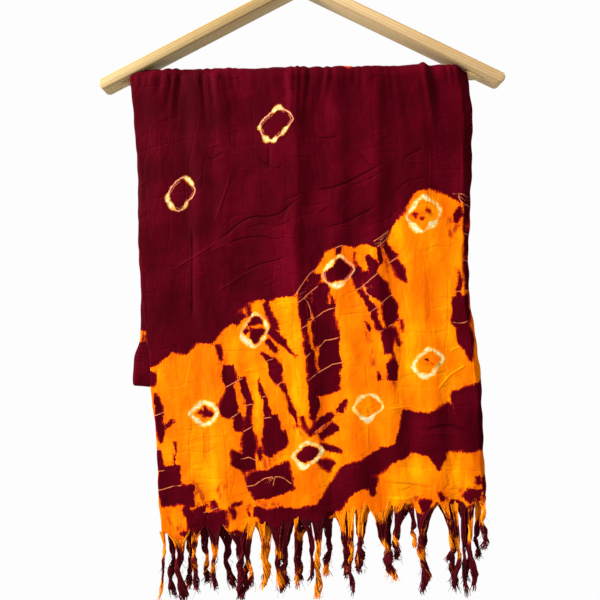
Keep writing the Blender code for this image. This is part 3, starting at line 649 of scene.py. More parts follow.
# Columns of maroon blocks in the orange: (across, drop, half width) down each, narrow where
# a thread bound them
BLOCKS = [
    [(16, 227, 8), (18, 250, 14), (19, 256, 11), (24, 282, 13), (25, 287, 11), (25, 311, 13),
     (25, 315, 11.5), (25, 330, 11.5)], [(18, 322, 12), (22.5, 338.5, 14)],
    [(-4, 240, 5), (-2, 270, 3.5), (-1, 274, 2), (3, 300, 4.5), (4, 303, 3.8), (5, 328, 5),
     (5, 331, 4), (8, 361, 6), (8, 376, 1)], [(-7, 238, 3), (3, 222, 6)],
    [(3, 236, 3), (3, 262, 2)], [(8, 262, 2), (12, 296, 3)], [(8, 233, 4.5), (10, 214, 6)],
    [(35, 186, 3), (35, 194, 2.5)], [(54, 191, 1), (54, 201, 0.8), (57, 209, 1.4)],
    [(55, 210, 6), (58, 230, 4)], [(64, 213, 3), (66, 224, 4.5), (70, 237, 2)],
    [(67, 195, 2), (73, 207, 7.5), (70, 219, 2.5)], [(79, 184, 2.6), (84, 205, 2.5)],
    [(86, 185, 4), (96, 196, 6)], [(95, 199, 4.5), (102, 214, 6.5), (108, 226, 1.2)],
    [(73, 217, 5), (80, 232, 10.5), (88, 243, 7.5), (92, 249, 9), (93, 260, 7), (90, 266, 4),
     (88, 274, 2.5)], [(86, 252, 4.5), (89, 272, 3)], [(88, 277, 8.5), (89, 301, 4.5)],
    [(96, 276, 2.6), (101, 291, 2)], [(103, 265, 2), (104, 276, 1.4)],
    [(58, 231, 2), (72, 254, 4.8), (72, 257, 3.5), (79, 277, 4)], [(63, 266, 1), (69, 278, 1.6)],
    [(94, 303, 1), (93, 315, 6), (92, 330, 4.5)], [(76, 319, 0.8), (80, 330, 3.4)],
    [(-96, 289, 3.3), (-93, 304, 3)],
    [(-84, 312, 6), (-84, 322, 8.5), (-84, 333, 3.5), (-83, 337, 5), (-85, 357, 11),
     (-80, 368, 2.5)],
    [(-70, 326, 4.5), (-63, 353, 4.2), (-63, 356, 3.2), (-63, 378, 4.2), (-64, 382, 4.5),
     (-64, 397, 9), (-64, 416, 8), (-61, 424, 5)],
    [(-74, 365, 3.5), (-75, 375, 7.5), (-70, 384, 1.5)],
    [(-82, 404, 1.5), (-75, 415, 8), (-66, 423, 6)],
    [(-51, 323, 0.6), (-47, 345, 3), (-45, 347, 1.6), (-43, 361, 4.3), (-44, 370, 3.3)],
    [(-39, 368, 7), (-36, 391, 15), (-43, 408, 6)], [(-52, 400, 2), (-50, 415, 2.5)],
    [(-43, 245, 3.5), (-39, 256, 4), (-30, 275, 2.5)],
    [(-38, 275, 6), (-27, 286, 4), (-22, 292, 1.5), (-10, 304, 1.2)],
    [(-50, 297, 1.6), (-39, 306, 3.5)], [(-42, 287, 3), (-31, 298, 2.5)],
    [(-77, 268, 4), (-68, 257, 5)],
    [(-36, 306, 5), (-34, 318, 7.3), (-30, 333, 2), (-28, 334, 2.8), (-20, 348, 1.3),
     (-16, 362, 2.8), (-10, 379, 0.9)], [(-62, 247, 2.5), (-59, 260, 2.5)],
    [(-5, 367, 2.3), (-1, 384, 2.6)], [(1, 388, 3), (26, 365, 5)], [(14, 389, 3.5), (30, 380, 6)],
    [(42, 352, 2.2), (35, 364, 4.5)], [(14, 400, 5), (36, 406, 2.6)],
    [(10, 415, 1.5), (25, 424, 6)], [(177, 140, 4), (176, 199, 3.5)],
    [(176, 204, 3.5), (176, 234, 3.5)], [(176, 240, 3), (177, 266, 1.6)],
    [(166, 213, 1.2), (167, 246, 3)], [(167, 144, 2.5), (166, 152, 4.5), (164, 161, 2)],
    [(167, 244, 8), (167, 266, 10), (168, 269, 8.5), (173, 284, 9.5), (176, 293, 6.5),
     (177, 310, 2.5)], [(104, 382, 19), (121, 387, 22), (138, 389, 25), (157, 381, 26)],
    [(170, 375, 33), (200, 369, 38)], [(137, 398, 18), (140, 414, 9.5), (142, 429, 1.5)],
    [(107, 401, 8), (94, 408, 9.5), (72, 421, 12.5), (45, 431, 11.5), (38, 443, 13), (22, 464, 12),
     (12, 482, 8)], [(66, 440, 7), (48, 441, 10)], [(70, 436, 6), (68, 448, 4), (71, 455, 2)],
    [(-59, 444, 16), (-22.6, 433, 15.5)],
    [(-57, 474, 8), (-36, 477, 11), (-8, 477, 10), (16, 473, 10)],
    [(-166, 318, 3.4), (-166, 331, 3)],
    [(-163, 341, 3), (-160, 361, 4.6), (-160, 364, 3.8), (-158, 384, 5), (-157, 393, 1.8)],
    [(-154, 379, 2), (-146, 369, 2.8)], [(-161, 402, 3.6), (-160, 424, 4.6)],
    [(-143, 394, 0.9), (-144, 418, 0.7)], [(-150, 422, 13), (-150, 443, 13)],
    [(-142, 446, 20), (-142, 456, 19)], [(-133, 464, 4.6), (-126, 474, 6)],
    [(-125, 467, 1.5), (-119, 465, 2.5), (-111, 460, 2)], [(-148, 476, 1.5), (-144, 482, 1.5)],
    [(-141, 487, 3), (-137, 493, 3)], [(-83, 465, 1.5), (-78, 462, 2.5), (-72, 459, 1.5)],
    [(-113, 460, 1.4), (-117, 472, 5.8)], [(-130, 480, 8), (-90, 477, 8)],
    [(-136, 492, 3), (-128, 496, 5)], [(-122, 492, 9), (-90, 488, 6)],
    [(-104, 458, 2.7), (-101, 467, 3.4)], [(-67, 466, 1.1), (-65, 475, 1.4)],
    [(-84, 467, 2.5), (-78, 483, 3)], [(-82, 495, 5), (-52, 494, 5)],
    [(168, 456, 4), (182, 464, 6)], [(172, 452, 2.5), (185, 455, 4)],
    [(126, 463, 7), (124, 474, 4)], [(190, 436, 2.7), (190, 462, 2.7)],
    [(139, 446, 1.5), (147, 459, 3)], [(152, 464, 4), (163, 468, 4)],
    [(182, 436, 2), (184, 444, 2.5)],
]
CLEARED = [
    [(-84, 484, 2), (-72, 484, 8), (-56, 484, 7)], [(-160, 470, 9), (-146, 492, 11)],
    [(45, -12, 2), (52, -12, 4)], [(-28, 370, 0.6), (-27, 383, 1.6)],
    [(137, 446, 5), (160, 441, 7)], [(26, 236, 0.7), (26, 246, 1.5)],
    [(11, 293, 2), (12, 304, 0.8)],
]
# Places where the maroon only stained
STAINS = [
    [(160, 148, 5), (163, 158, 9), (157, 174, 4)], [(118, 153, 1.5), (137, 151, 1.5)],
    [(-42, 404, 9), (-43, 426, 4)], [(-126, 438, 5), (-117, 457, 7)],
    [(-96, 438, 2), (-95, 458, 2.5)], [(86, 188, 6), (92, 212, 5)], [(64, 278, 3), (68, 289, 2.5)],
    [(71, 297, 2.5), (72, 314, 3)], [(-152, 474, 2.5), (-151, 482, 2.5)],
    [(-142, 484, 4.5), (-140, 500, 4)], [(162, 444, 6), (176, 462, 8)],
    [(110, 457, 3), (130, 462, 4)], [(92, 330, 5), (92, 342, 3)], [(104, 400, 5), (112, 408, 6)],
    [(-82, 462, 2.5), (-62, 466, 4)], [(-16, 378, 2), (-2, 392, 3)],
    [(-100, 448, 3), (-86, 440, 3)], [(123, 309, 0.5), (139, 314, 1)],
    [(57, 363, 0), (74, 363, 0.5)], [(-119, 362, 1.5), (-102, 364, 1.5)],
    [(168, 452, 5), (186, 452, 6)], [(-55, 462, 4), (-30, 464, 3)],
]
# Tied rings: middle, half width and height, how far the corners at the right and at the top
# are turned, in degrees, whether the inside took the maroon, half width of the line, and its
# thick places as (direction in degrees, spread, half width)
RINGS = [
    (-29.5, 52, 18.6, 18.4, (11, -12), True, 0.5, [(82, 22, 2.4), (238, 13, 3.1), (266, 10, 2.8),
     (325, 30, 1.9), (190, 9, 2)]),
    (-133, 125, 15.4, 18.8, (10, -8), True, 0.5, [(55, 26, 2.3), (200, 22, 2.2), (232, 18, 2.6),
     (294, 17, 2.1)]),
    (129, 151.6, 18.9, 18.3, (9, -1), False, 1, [(140, 40, 2.4), (85, 26, 2.2), (20, 34, 1.7),
     (236, 28, 3.6), (308, 24, 3.7)]),
    (35.8, 212.4, 17.6, 16.2, (9, -5), True, 0.7, [(142, 36, 2.4), (80, 22, 1.4), (268, 34, 3.2),
     (205, 22, 0.9)]),
    (-55.5, 274, 14.6, 18.2, (9, -1), True, 0.9, [(232, 38, 3.4), (88, 16, 1.9), (22, 26, 2),
     (318, 24, 1.5), (150, 16, 1.7)]),
    (-111, 363, 14.7, 12.6, (2, 0), False, 2, [(130, 44, 2.8), (50, 30, 2.6), (228, 36, 2.8),
     (180, 24, 2.4)]),
    (130.6, 312, 16.7, 15, (13, -5), False, 1.6, [(92, 20, 2.6), (45, 22, 2.2), (0, 30, 2.3),
     (300, 22, 2.6), (256, 28, 3.4), (200, 24, 2.3)]),
    (65.6, 358.5, 16, 14, (1, -4), False, 1.1, [(128, 32, 2.2), (190, 22, 1.6), (266, 44, 3),
     (50, 34, 1.9)]),
    (-0.7, 408.4, 16, 13.6, (6, -10), True, 1.6, [(88, 34, 2.2), (190, 26, 1.8), (250, 36, 3.1),
     (0, 30, 2.3)]),
]
# Small marks inside the rings: maroon and then orange
RING_SPOTS = [
    [(118, 151, 1.6), (121, 153, 2.2)], [(132, 148, 1.9), (135, 149, 1.4)],
    [(126, 155, 1.5), (128, 157, 1.2)], [(-118, 362, 1.4), (-110, 363, 4.2), (-102, 364, 2.6)],
    [(-111, 356, 0.8), (-109, 364, 2.6)], [(127, 307, 0.6), (136, 313, 0.8)],
]
RING_CLEARED = [
    [(-64, 271, 1.2), (-54, 270, 1.7), (-44, 270, 2.4)], [(-64, 281, 2), (-60, 275, 1.2)],
]
# Lines where a thread held the dye out of the maroon
HELD_LINES = [
    [(-11, 237), (-6, 229), (0, 220), (5, 214), (13, 208)],
    [(-8, 245), (-2, 240), (5, 234), (13, 228)],
    [(-5, 273), (0, 270), (8, 263), (14, 259), (19, 255), (24, 253), (31, 251)],
    [(11, 296), (16, 291), (21, 286), (30, 285), (35, 283)],
    [(-1, 240), (3, 246), (5, 253), (6, 261)], [(33, 187), (37, 185), (41, 184)],
    [(56, 232), (62, 228), (69, 222), (75, 217), (80, 213)], [(90, 204), (98, 199), (103, 196)],
    [(62, 229), (65, 235), (71, 240)], [(68, 257), (73, 254), (77, 251)],
    [(81, 248), (87, 242), (93, 238)], [(79, 278), (83, 276)], [(89, 272), (94, 270)],
    [(78, 186), (85, 181), (93, 173)], [(75, 180), (84, 174), (90, 169)], [(-3, 306), (4, 300)],
    [(2, 329), (9, 323), (19, 317), (28, 312), (39, 310)], [(-88, 335), (-82, 332), (-70, 326)],
    [(-67, 356), (-62, 354), (-59, 354)], [(-83, 369), (-74, 363)], [(-69, 383), (-60, 378)],
    [(-71, 413), (-64, 411), (-55, 415)], [(-32, 334), (-28, 331)], [(-48, 346), (-44, 345)],
    [(-46, 369), (-40, 368)], [(-42, 307), (-36, 305)], [(8, 385), (19, 377)],
    [(99, 265), (103, 263)], [(159, 269), (165, 270), (172, 269), (176, 267)],
    [(-169, 364), (-163, 364), (-155, 361)], [(-166, 401), (-158, 401)],
    [(-165, 425), (-156, 424)], [(-163, 445), (-156, 444), (-147, 441), (-137, 440)],
    [(-113, 470), (-106, 468), (-98, 465)], [(-67, 443), (-58, 441), (-48, 434), (-38, 432)],
    [(-38, 441), (-36, 432), (-28, 433), (-19, 440)], [(161, 130), (168, 130), (178, 133)],
    [(166, 131), (169, 138), (175, 142), (180, 143)], [(170, 173), (178, 174)],
    [(172, 202), (179, 203)], [(163, 236), (171, 235), (179, 234)],
]
# On the back the orange starts higher at the left, and ends above the cross fold. The rest
# of its dye lies as it does on the front, because the stole was tied with its plies together.
BACK_UPPER = [(-200, 268), (-176, 272), (-150, 284), *FRONT_EDGE[6:]]
BACK_LOWER = [(-200, 287), (-176, 286), (-150, 300), (-110, 318), (-60, 314), (0, 322), (60, 331),
              (120, 341), (200, 352)]
RING_POWER = 1.35         # 1 would draw the rings as diamonds, and 2 as ellipses
DYE_REACH = 14.0          # furthest inside or outside a colour that the mesh tells apart
UNDYED = -60.0            # depth inside a band where no band is near


def blended(a, b, soft=1.6):
    """The larger of two fields, rounded where they meet."""
    part = np.clip(0.5 + 0.5 * (a - b) / soft, 0, 1)
    return b + (a - b) * part + soft * part * (1 - part) * 0.5


def to_bands(x, drop, bands):
    """Depth inside the nearest of several bands of uneven width, below 0 outside."""
    field = np.full(x.shape, UNDYED)
    for band in bands:
        for n, (along, _, span, away) in enumerate(segments(x, drop, band)):
            half1, half2 = band[n][2], band[n + 1][2]
            depth = half1 + (half2 - half1) * np.clip(along / span, 0, 1) - away
            if n == 0:
                depth = np.minimum(depth, along + 0.3 * half1)
            if n == len(band) - 2:
                depth = np.minimum(depth, span + 0.3 * half2 - along)
            field = np.maximum(field, depth)
    return field


def to_ring(x, drop, ring, number):
    """Distance outside a ring's line, and half the line's width in that direction."""
    cx, cd, wide, tall, turns, _, line, thick = ring
    right, top = (math.radians(turn) for turn in turns)
    dx, dz = x - cx + 1e-4, cd - drop
    u = (dx * math.cos(top) + dz * math.sin(top)) / math.cos(right - top)
    v = (dz * math.cos(right) - dx * math.sin(right)) / math.cos(right - top)
    round_ = np.arctan2(dz, dx)
    uneven = 1 + 0.04 * np.sin(3 * round_ + number) + 0.03 * np.sin(5 * round_ + 2.2 * number)
    reach = (np.abs(u) / wide) ** RING_POWER + (np.abs(v) / tall) ** RING_POWER
    reach = reach ** (1 / RING_POWER) / uneven
    away = np.hypot(dx, dz)
    half = np.full(x.shape, line)
    for direction, spread, width in thick:
        off = np.degrees(np.angle(np.exp(1j * (round_ - math.radians(direction)))))
        half = np.maximum(half, width * np.exp(-np.abs(off / spread) ** 2.6))
    outside = 0.9 * (away - away / np.maximum(reach, 1e-6))
    return np.clip(outside, 1 - DYE_REACH, DYE_REACH), half


def dyed(x, drop, edges, seed):
    """The dye as fields in mm: maroon above 0, the rings' lines, and the held-out threads."""
    # tied cloth takes the dye unevenly, so its places are pushed about a little
    places = [(a / 15, b / 19, seed) for a, b in zip(x.ravel(), drop.ravel())]
    push = np.array([(noise.noise(p), noise.noise((p[0], p[1], seed + 4.5))) for p in places])
    wx, wd = x + 2.6 * push[:, 0].reshape(x.shape), drop + 3.4 * push[:, 1].reshape(x.shape)
    field = np.full(x.shape, UNDYED)
    for edge, above in edges:
        away, _, _ = to_lines(wx, wd, edge)
        inside = (wd < np.interp(wx, *zip(*edge))) == above
        field = np.maximum(field, np.where(inside, away, -away))
    field = blended(field, to_bands(wx, wd, BLOCKS))
    field = -blended(-field, to_bands(wx, wd, CLEARED))
    ring, ring_half = np.full(x.shape, DYE_REACH), np.full(x.shape, 0.45)
    for number, shape in enumerate(RINGS):
        outside, half = to_ring(x, drop, shape, number)
        inside = outside < -half
        inner = np.where(inside, -outside - half, 0)
        field = np.where(inside, inner if shape[5] else -inner - 1.0, field)
        nearer = np.abs(outside) < np.abs(ring)
        ring, ring_half = np.where(nearer, outside, ring), np.where(nearer, half, ring_half)
    field = np.maximum(field, to_bands(x, drop, RING_SPOTS))
    field = np.minimum(field, -to_bands(x, drop, RING_CLEARED))
    thread, held = np.full(x.shape, FAR_OFF), np.zeros(x.shape)
    for line in HELD_LINES:
        away, side, where = to_lines(x, drop, line)
        nearer = away < np.abs(thread)
        thread = np.where(nearer, side, thread)
        held = np.where(nearer, ((where > -0.02) & (where < 1.02) & (away < 4.5)) * 1.0, held)
    return {"maroon": np.clip(field, -DYE_REACH, DYE_REACH), "ring": ring, "ring_half": ring_half,
            "thread": thread, "thread_held": held,
            "stain": eased((to_bands(wx, wd, STAINS) + 2.5) / 5)}


def make_piece(name, places, faces, fields, finish, flat=None):
    """A mesh from places in mm about the bar, with fields for its finish and its flat cut as UV,
    facing outwards and the only piece selected."""
    mesh = bpy.data.meshes.new(name)
    mesh.from_pydata(((places + [0, 0, BAR_Z]) * MM).tolist(), [], faces)
    for key, value in fields.items():
        kind, slot = ("FLOAT_VECTOR", "vector") if value.ndim == 3 else ("FLOAT", "value")
        carried = mesh.attributes.new(key, kind, "POINT").data
        carried.foreach_set(slot, value.ravel().astype(np.float32))
    if flat is not None:
        flat = flat[np.ravel(faces)] * MM
        mesh.uv_layers.new(name="cut").data.foreach_set("uv", flat.ravel().astype(np.float32))
    piece = bpy.data.objects.new(name, mesh)
    bpy.context.scene.collection.objects.link(piece)
    mesh.materials.append(finish)
    take(piece)
    bpy.ops.object.mode_set(mode="EDIT")
    bpy.ops.mesh.select_all(action="SELECT")
    bpy.ops.mesh.normals_make_consistent(inside=False)
    bpy.ops.object.mode_set(mode="OBJECT")
    return piece


def hang_cloth(name, points, edges, seed):
    """A cloth piece from rows and columns of points, dyed below or above some edges."""
    x, y, z, drop, flat_across, wear = points
    index = np.arange(x.size).reshape(x.shape)
    faces = np.stack([index[:-1, :-1], index[1:, :-1], index[1:, 1:], index[:-1, 1:]], axis=-1)
    lengths = np.cumsum(np.concatenate([[0], np.hypot(np.diff(y[:, 0]), np.diff(z[:, 0]))]))
    flat = np.stack([flat_across, np.broadcast_to(lengths[:, None], x.shape)], axis=-1)
    cloth = make_piece(name, np.stack([x, y, z], axis=-1).reshape(-1, 3),
                       faces.reshape(-1, 4).tolist(), {**dyed(x, drop, edges, seed), **wear},
                       crepe, flat.reshape(-1, 2))
    thick = cloth.modifiers.new("sheet", "SOLIDIFY")
    thick.thickness = SHEET * MM
    thick.offset = 0.0
    bpy.ops.object.modifier_apply(modifier=thick.name)
    bpy.ops.object.shade_smooth()
    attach(cloth, "root")
    return cloth


# Rayon crepe, woven and tie-dyed: matt with a faint silky sheen, edges of colour that
# feather along the threads, cream where the ties kept every dye out. The threads are really
# 0.2 mm apart; they are drawn 0.7 mm apart and uneven, so that they show.
MAROON = "#3E0009"
MAROON_DEEP = "#340006"
MAROON_WORN = "#49010E"
ORANGE = "#D26400"
ORANGE_DEEP = "#CA5600"
ORANGE_PALE = "#DE8000"
BLEED = [(0.0, ORANGE), (0.38, "#CA5C00"), (0.45, "#AE3C02"), (0.5, "#7C1606"),
         (0.57, "#58040C"), (0.66, MAROON)]
STAIN = "#861A08"
CREAM = ["#B87C3C", "#C49C5C", "#CAB48C"]
YELLOW = "#CC8A10"
HELD_OUT = "#C46C40"
RING_LINES = ["#C07C58", "#A85C3C"]
THREAD = 0.7              # mm between threads
PUCKER = 5.5              # mm across a pucker of the crepe
FOLD_TOP_LIGHT = 0.3          # painted light: how much lighter the top of a fold is painted than its foot
CREASE_LIGHT_AND_SHADE = 0.52        # painted highlight on a crease's ridge and painted shade in its groove, for each mm of its height

crepe, tree, shader = new_finish("tie_dyed_rayon_crepe")
where = node("TexCoord", out="Object")
cut = node("TexCoord", out="UV")


def speckle(scale, stretch=(1, 1, 1), detail=2.0):
    """Noise on the cloth, from -0.5 to 0.5, of a scale in mm and stretched along an axis."""
    sized = node("Mapping", {"Vector": where, "Scale": stretch})
    spots = node("TexNoise", {"Vector": sized, "Scale": 1 / (scale * MM), "Detail": detail})
    return node("Math", (spots, 0.5), operation="SUBTRACT")


def built_up(value, *parts):
    """A value with parts added to it, each by its amount."""
    for part, amount in parts:
        value = node("Math", (part, amount, value), operation="MULTIPLY_ADD")
    return value


def mask(strength, *tests):
    """A strength where all tests hold, fading to 0 where one fails. A test is a value, the
    place where it fails and the place where it holds in full."""
    for test in tests:
        held = node("MapRange", test, interpolation_type="SMOOTHSTEP")
        strength = node("Math", (strength, held), operation="MULTIPLY")
    return strength


# What the mesh carries of the dye, mostly as distances in mm
maroon_depth, ring_away, ring_half, thread_away, thread_held, stain, painted_fold_light = (
    node("Attribute", out="Fac", attribute_name=key)
    for key in ("maroon", "ring", "ring_half", "thread", "thread_held", "stain", "painted_fold_light"))
streak = speckle(19, (1, 1, 0.3), 3)
cloud = speckle(45, detail=3)
blotch = speckle(4.5, (1, 1, 0.4), 3)
edge = built_up(maroon_depth, (speckle(9, detail=3), 4.0), (speckle(1.6, (1, 1, 0.25)), 4.2),
                (speckle(1.6, (0.25, 1, 1)), 2.6))
sharpness = node("MapRange", (speckle(24), -0.16, 0.16, 0.055, 0.16))
edge_place = node("Math", (edge, sharpness, 0.5), operation="MULTIPLY_ADD")
orange = node("ValToRGB", (built_up(0.5, (streak, 1.0), (cloud, 0.7)),), stops=[
    (0.33, ORANGE_DEEP), (0.5, ORANGE), (0.62, "#D67000"), (0.74, ORANGE_PALE)])
maroon = node("ValToRGB", (built_up(0.5, (streak, 0.6), (cloud, 1.0)),), stops=[
    (0.28, MAROON_DEEP), (0.5, MAROON), (0.72, MAROON_WORN)])
haze = mask(0.3, (edge_place, -0.4, 0.35), (blotch, 0.0, 0.2))
stained = mask(node("Math", (stain, 0.85), operation="MULTIPLY"), (blotch, -0.12, 0.12))
stained = node("Math", (stained, haze), operation="MAXIMUM")
line_near = node("Math", (built_up(thread_away, (speckle(6, detail=3), 1.3)),),
                 operation="ABSOLUTE")
line = mask(node("Math", (thread_held, 0.9), operation="MULTIPLY"), (line_near, 0.62, 0.2),
            (edge_place, 0.3, 0.5), (speckle(7), -0.3, 0.05))

# The rings: a yellow halo that is weaker on maroon, thin lines, and thick places of cream
ring_at = built_up(ring_away, (speckle(7, detail=3), 3.0), (speckle(2.2, detail=3), 1.8))
past = node("Math", (node("Math", (ring_at,), operation="ABSOLUTE"), ring_half),
            operation="SUBTRACT")
on_dye = node("MapRange", (edge_place, 0.5, 0.7, 0.9, 0.5), interpolation_type="SMOOTHSTEP")
halo = mask(on_dye, (past, 1.1, 0.0), (ring_half, 0.5, 1.4))
second_near = node("Math", (node("Math", (ring_at, 2.2), operation="ADD"),), operation="ABSOLUTE")
second = mask(0.75, (second_near, 0.7, 0.2), (ring_half, 1.1, 0.6), (speckle(5), -0.12, 0.04))
first = mask(1.0, (past, 0.4, -0.1), (ring_half, 1.2, 0.6))
cream = node("ValToRGB", (built_up(0.42, (speckle(3.4), 1.0), (past, -0.09)),),
             stops=[*zip((0.32, 0.48, 0.66), CREAM)])
cream_here = mask(1.0, (past, 0.35, -0.8), (ring_half, 0.7, 1.3))

colour = orange
for tint, amount in (
        (linear(STAIN), stained),
        (node("ValToRGB", (edge_place,), stops=BLEED), mask(1.0, (edge_place, 0.3, 0.42))),
        (maroon, mask(1.0, (edge_place, 0.58, 0.7))), (linear(HELD_OUT), line),
        (linear(YELLOW), halo), (linear(RING_LINES[1]), second), (linear(RING_LINES[0]), first),
        (cream, cream_here)):
    colour = node("Mix", {0: amount, 6: colour, 7: tint}, 2, data_type="RGBA")

# Painted shade makes a groove a little darker than the cloth around it, and a painted highlight
# makes a ridge a little lighter.
near, high = (
    node("SeparateXYZ", (node("Attribute", out="Vector", attribute_name=key),)).node.outputs
    for key in ("crease", "crease_high"))
pressed = 0.0
for away, tall in zip(near, high):
    away = node("Math", (away,), operation="ABSOLUTE")
    pressed = node("Math", (pressed, mask(tall, (away, 1.0, 0.0))), operation="ADD")
# Painted light: the tops of the folds and the creases' ridges are lighter, and the grooves darker.
painted_light = built_up(1 - 0.4 * FOLD_TOP_LIGHT, (painted_fold_light, FOLD_TOP_LIGHT), (pressed, CREASE_LIGHT_AND_SHADE))
colour = node("Mix", {0: 1.0, 6: colour, 7: painted_light}, 2, data_type="RGBA", blend_type="MULTIPLY")

# Relief, finest first: threads, puckers, the fine wrinkles of worn crepe, which are short
# across the cloth, in patches, and longer down it, and the pressed creases.
warp, weft = (
    node("TexNoise", {"Vector": node("Mapping", {"Vector": cut, "Scale": stretch}),
                      "Scale": 1 / (THREAD * MM), "Detail": 2})
    for stretch in ((1, 0.12, 1), (0.12, 1, 1)))
pucker = node("TexNoise", {"Vector": where, "Scale": 1 / (PUCKER * MM), "Detail": 3})
across, down = (
    node("Math", (node("Math", (spots,), operation="ABSOLUTE"), 0.05), operation="MINIMUM")
    for spots in (speckle(27, (0.45, 1, 1.3), 3), speckle(24, (1.2, 1, 0.3))))
wrinkles = built_up(0.0, (across, mask(20.0, (cloud, -0.12, 0.08))), (down, 11.0))
surface = {}
for height, strength, distance in (
        (node("Math", (warp, weft), operation="ADD"), 0.22, 0.00018), (pucker, 0.22, 0.0011),
        (wrinkles, 1.0, 0.0003), (pressed, 1.0, 0.0008)):
    surface["Normal"] = node("Bump", {"Height": height, "Strength": strength,
                                      "Distance": distance, **surface})
feed(shader, {"Base Color": colour, **surface,
              "Roughness": node("MapRange", (warp, 0, 1, 0.62, 0.8)), "IOR": 1.45,
              "Specular IOR Level": 0.015, "Sheen Weight": 0.015, "Sheen Roughness": 0.45,
              "Sheen Tint": linear("#C84058")})


def run(place, first, last, count, side, sides):
    """Stations at even steps of a place function's value, for the outer or the under plies."""
    plies, folded, inset, insets = side
    return [(place, value, plies, folded, sides, inset, insets)
            for value in np.linspace(first, last, count)]


# Rows down each length of cloth, and columns across its first ply and its second
FRONT_ROWS, BACK_ROWS, UNDER_ROWS = 204, 110, 124
FRONT_COLUMNS, BACK_COLUMNS, UNDER_COLUMNS = (178, 38), (150, 30), (106, 30)
# Distance of both plies from the bar, how much of the folds shows, and how far the fold and
# the two selvedges stand in from the edges
OUTER = ((PLIES[3], PLIES[2]), 1.0, 0.0, (3, 2))
UNDER = ((PLIES[0], PLIES[1]), 0.0, UNDER_INSET, (0, 1))

# Outer two plies, from the fringe up to the top of the bar.
stations = (run(down_front(FRONT_TASSELS), 1, 0, FRONT_ROWS, OUTER, front_sides)
            + run(on_bar, 0, 90, 10, OUTER, front_sides)[1:])
front = ply_pair(stations, FRONT_COLUMNS, FRONT_CREASES, 1.0)
stole_front = hang_cloth("stole_front_cloth", front, [(FRONT_EDGE, True)], 2.0)
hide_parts("stole_front", "stole_over_bar")

# Outer two plies down the back to the cross fold, and up again under themselves.
cross_fold = [(on_turn, turn, (PLIES[3] - TURN_MIDDLE, PLIES[2] - TURN_MIDDLE), 0.0, back_sides,
               UNDER_INSET * turn / 180, (1.5, 1.5)) for turn in np.linspace(0, 180, 9)[1:-1]]
stations = (run(on_bar, 90, 180, 7, OUTER, front_sides)[:-1]
            + run(on_back, 0, 1, BACK_ROWS, OUTER, back_sides) + cross_fold
            + run(on_back, 1, 0, 30, UNDER, back_sides)
            + run(on_bar, 180, 90, 5, UNDER, front_sides)[1:])
back = ply_pair(stations, BACK_COLUMNS, BACK_CREASES, 5.0)
stole_back = hang_cloth("stole_back_cloth", back, [(BACK_UPPER, True), (BACK_LOWER, False)], 12.0)
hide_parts("stole_back")

# Under two plies, from the top of the bar down the inside of the front to their own fringe.
stations = (run(on_bar, 90, 0, 6, UNDER, front_sides)[:-1]
            + run(down_front(UNDER_TASSELS), 0, 1, UNDER_ROWS, UNDER, front_sides))
under = ply_pair(stations, UNDER_COLUMNS, FRONT_CREASES, 9.0)
stole_under = hang_cloth("stole_under_cloth", under, [(FRONT_EDGE, True)], 2.0)
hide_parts("stole_front_under", "stole_over_bar_under")


# Fringe. The warp ends of the cloth, left 60 to 100 mm long, gathered by hand and twisted
# into tassels, dyed with the cloth and since worn to fluff at their tips.
ROOT_PITCH = 0.6          # mm between threads drawn at the hem
THREAD_RADIUS = 0.45
STRAND_POINTS = 18        # along each thread
FLUFF_POINTS = 7          # along each loose fibre
FRONT_HANG = -1.8         # outer tassels hang this far in front of their plies
UNDER_HANG = 1.0          # and the under tassels behind theirs
ROOT_IN = 1.2             # how much of each thread lies inside the hem
SPREAD = 0.618            # spreads a bundle's threads evenly from its middle outwards
SHORT_SHARE = 0.14        # of a tassel's threads, those broken off short
MIXED_SHARE = 0.1         # of a tassel's threads, those that took the dye by themselves
MAROON_YARN = "#3E020B"
ORANGE_YARN = "#CC6E04"
YARN_TWIST = 0.8          # mm between the turns of a thread's twist


def hems_of(points, row, columns):
    """Across, front to back and height of the hem of both plies, in order from left to right."""
    for ply in (slice(0, columns[0]), slice(-columns[1], None)):
        x, y, z = (part[row, ply] for part in points[:3])
        order = np.argsort(x)
        yield x[order], y[order], z[order]


def strand_tube(path, radii, sides):
    """Rings of a thin tube along a path."""
    ahead = np.gradient(path, axis=0)
    ahead /= np.linalg.norm(ahead, axis=1, keepdims=True)
    side = np.cross(ahead, [0.0, 1.0, 0.0])
    side /= np.linalg.norm(side, axis=1, keepdims=True)
    turn = (2 * np.pi * np.arange(sides) / sides)[:, None]
    ring = side[:, None] * np.cos(turn) + np.cross(side, ahead)[:, None] * np.sin(turn)
    return path[:, None] + ring * radii[:, None, None]


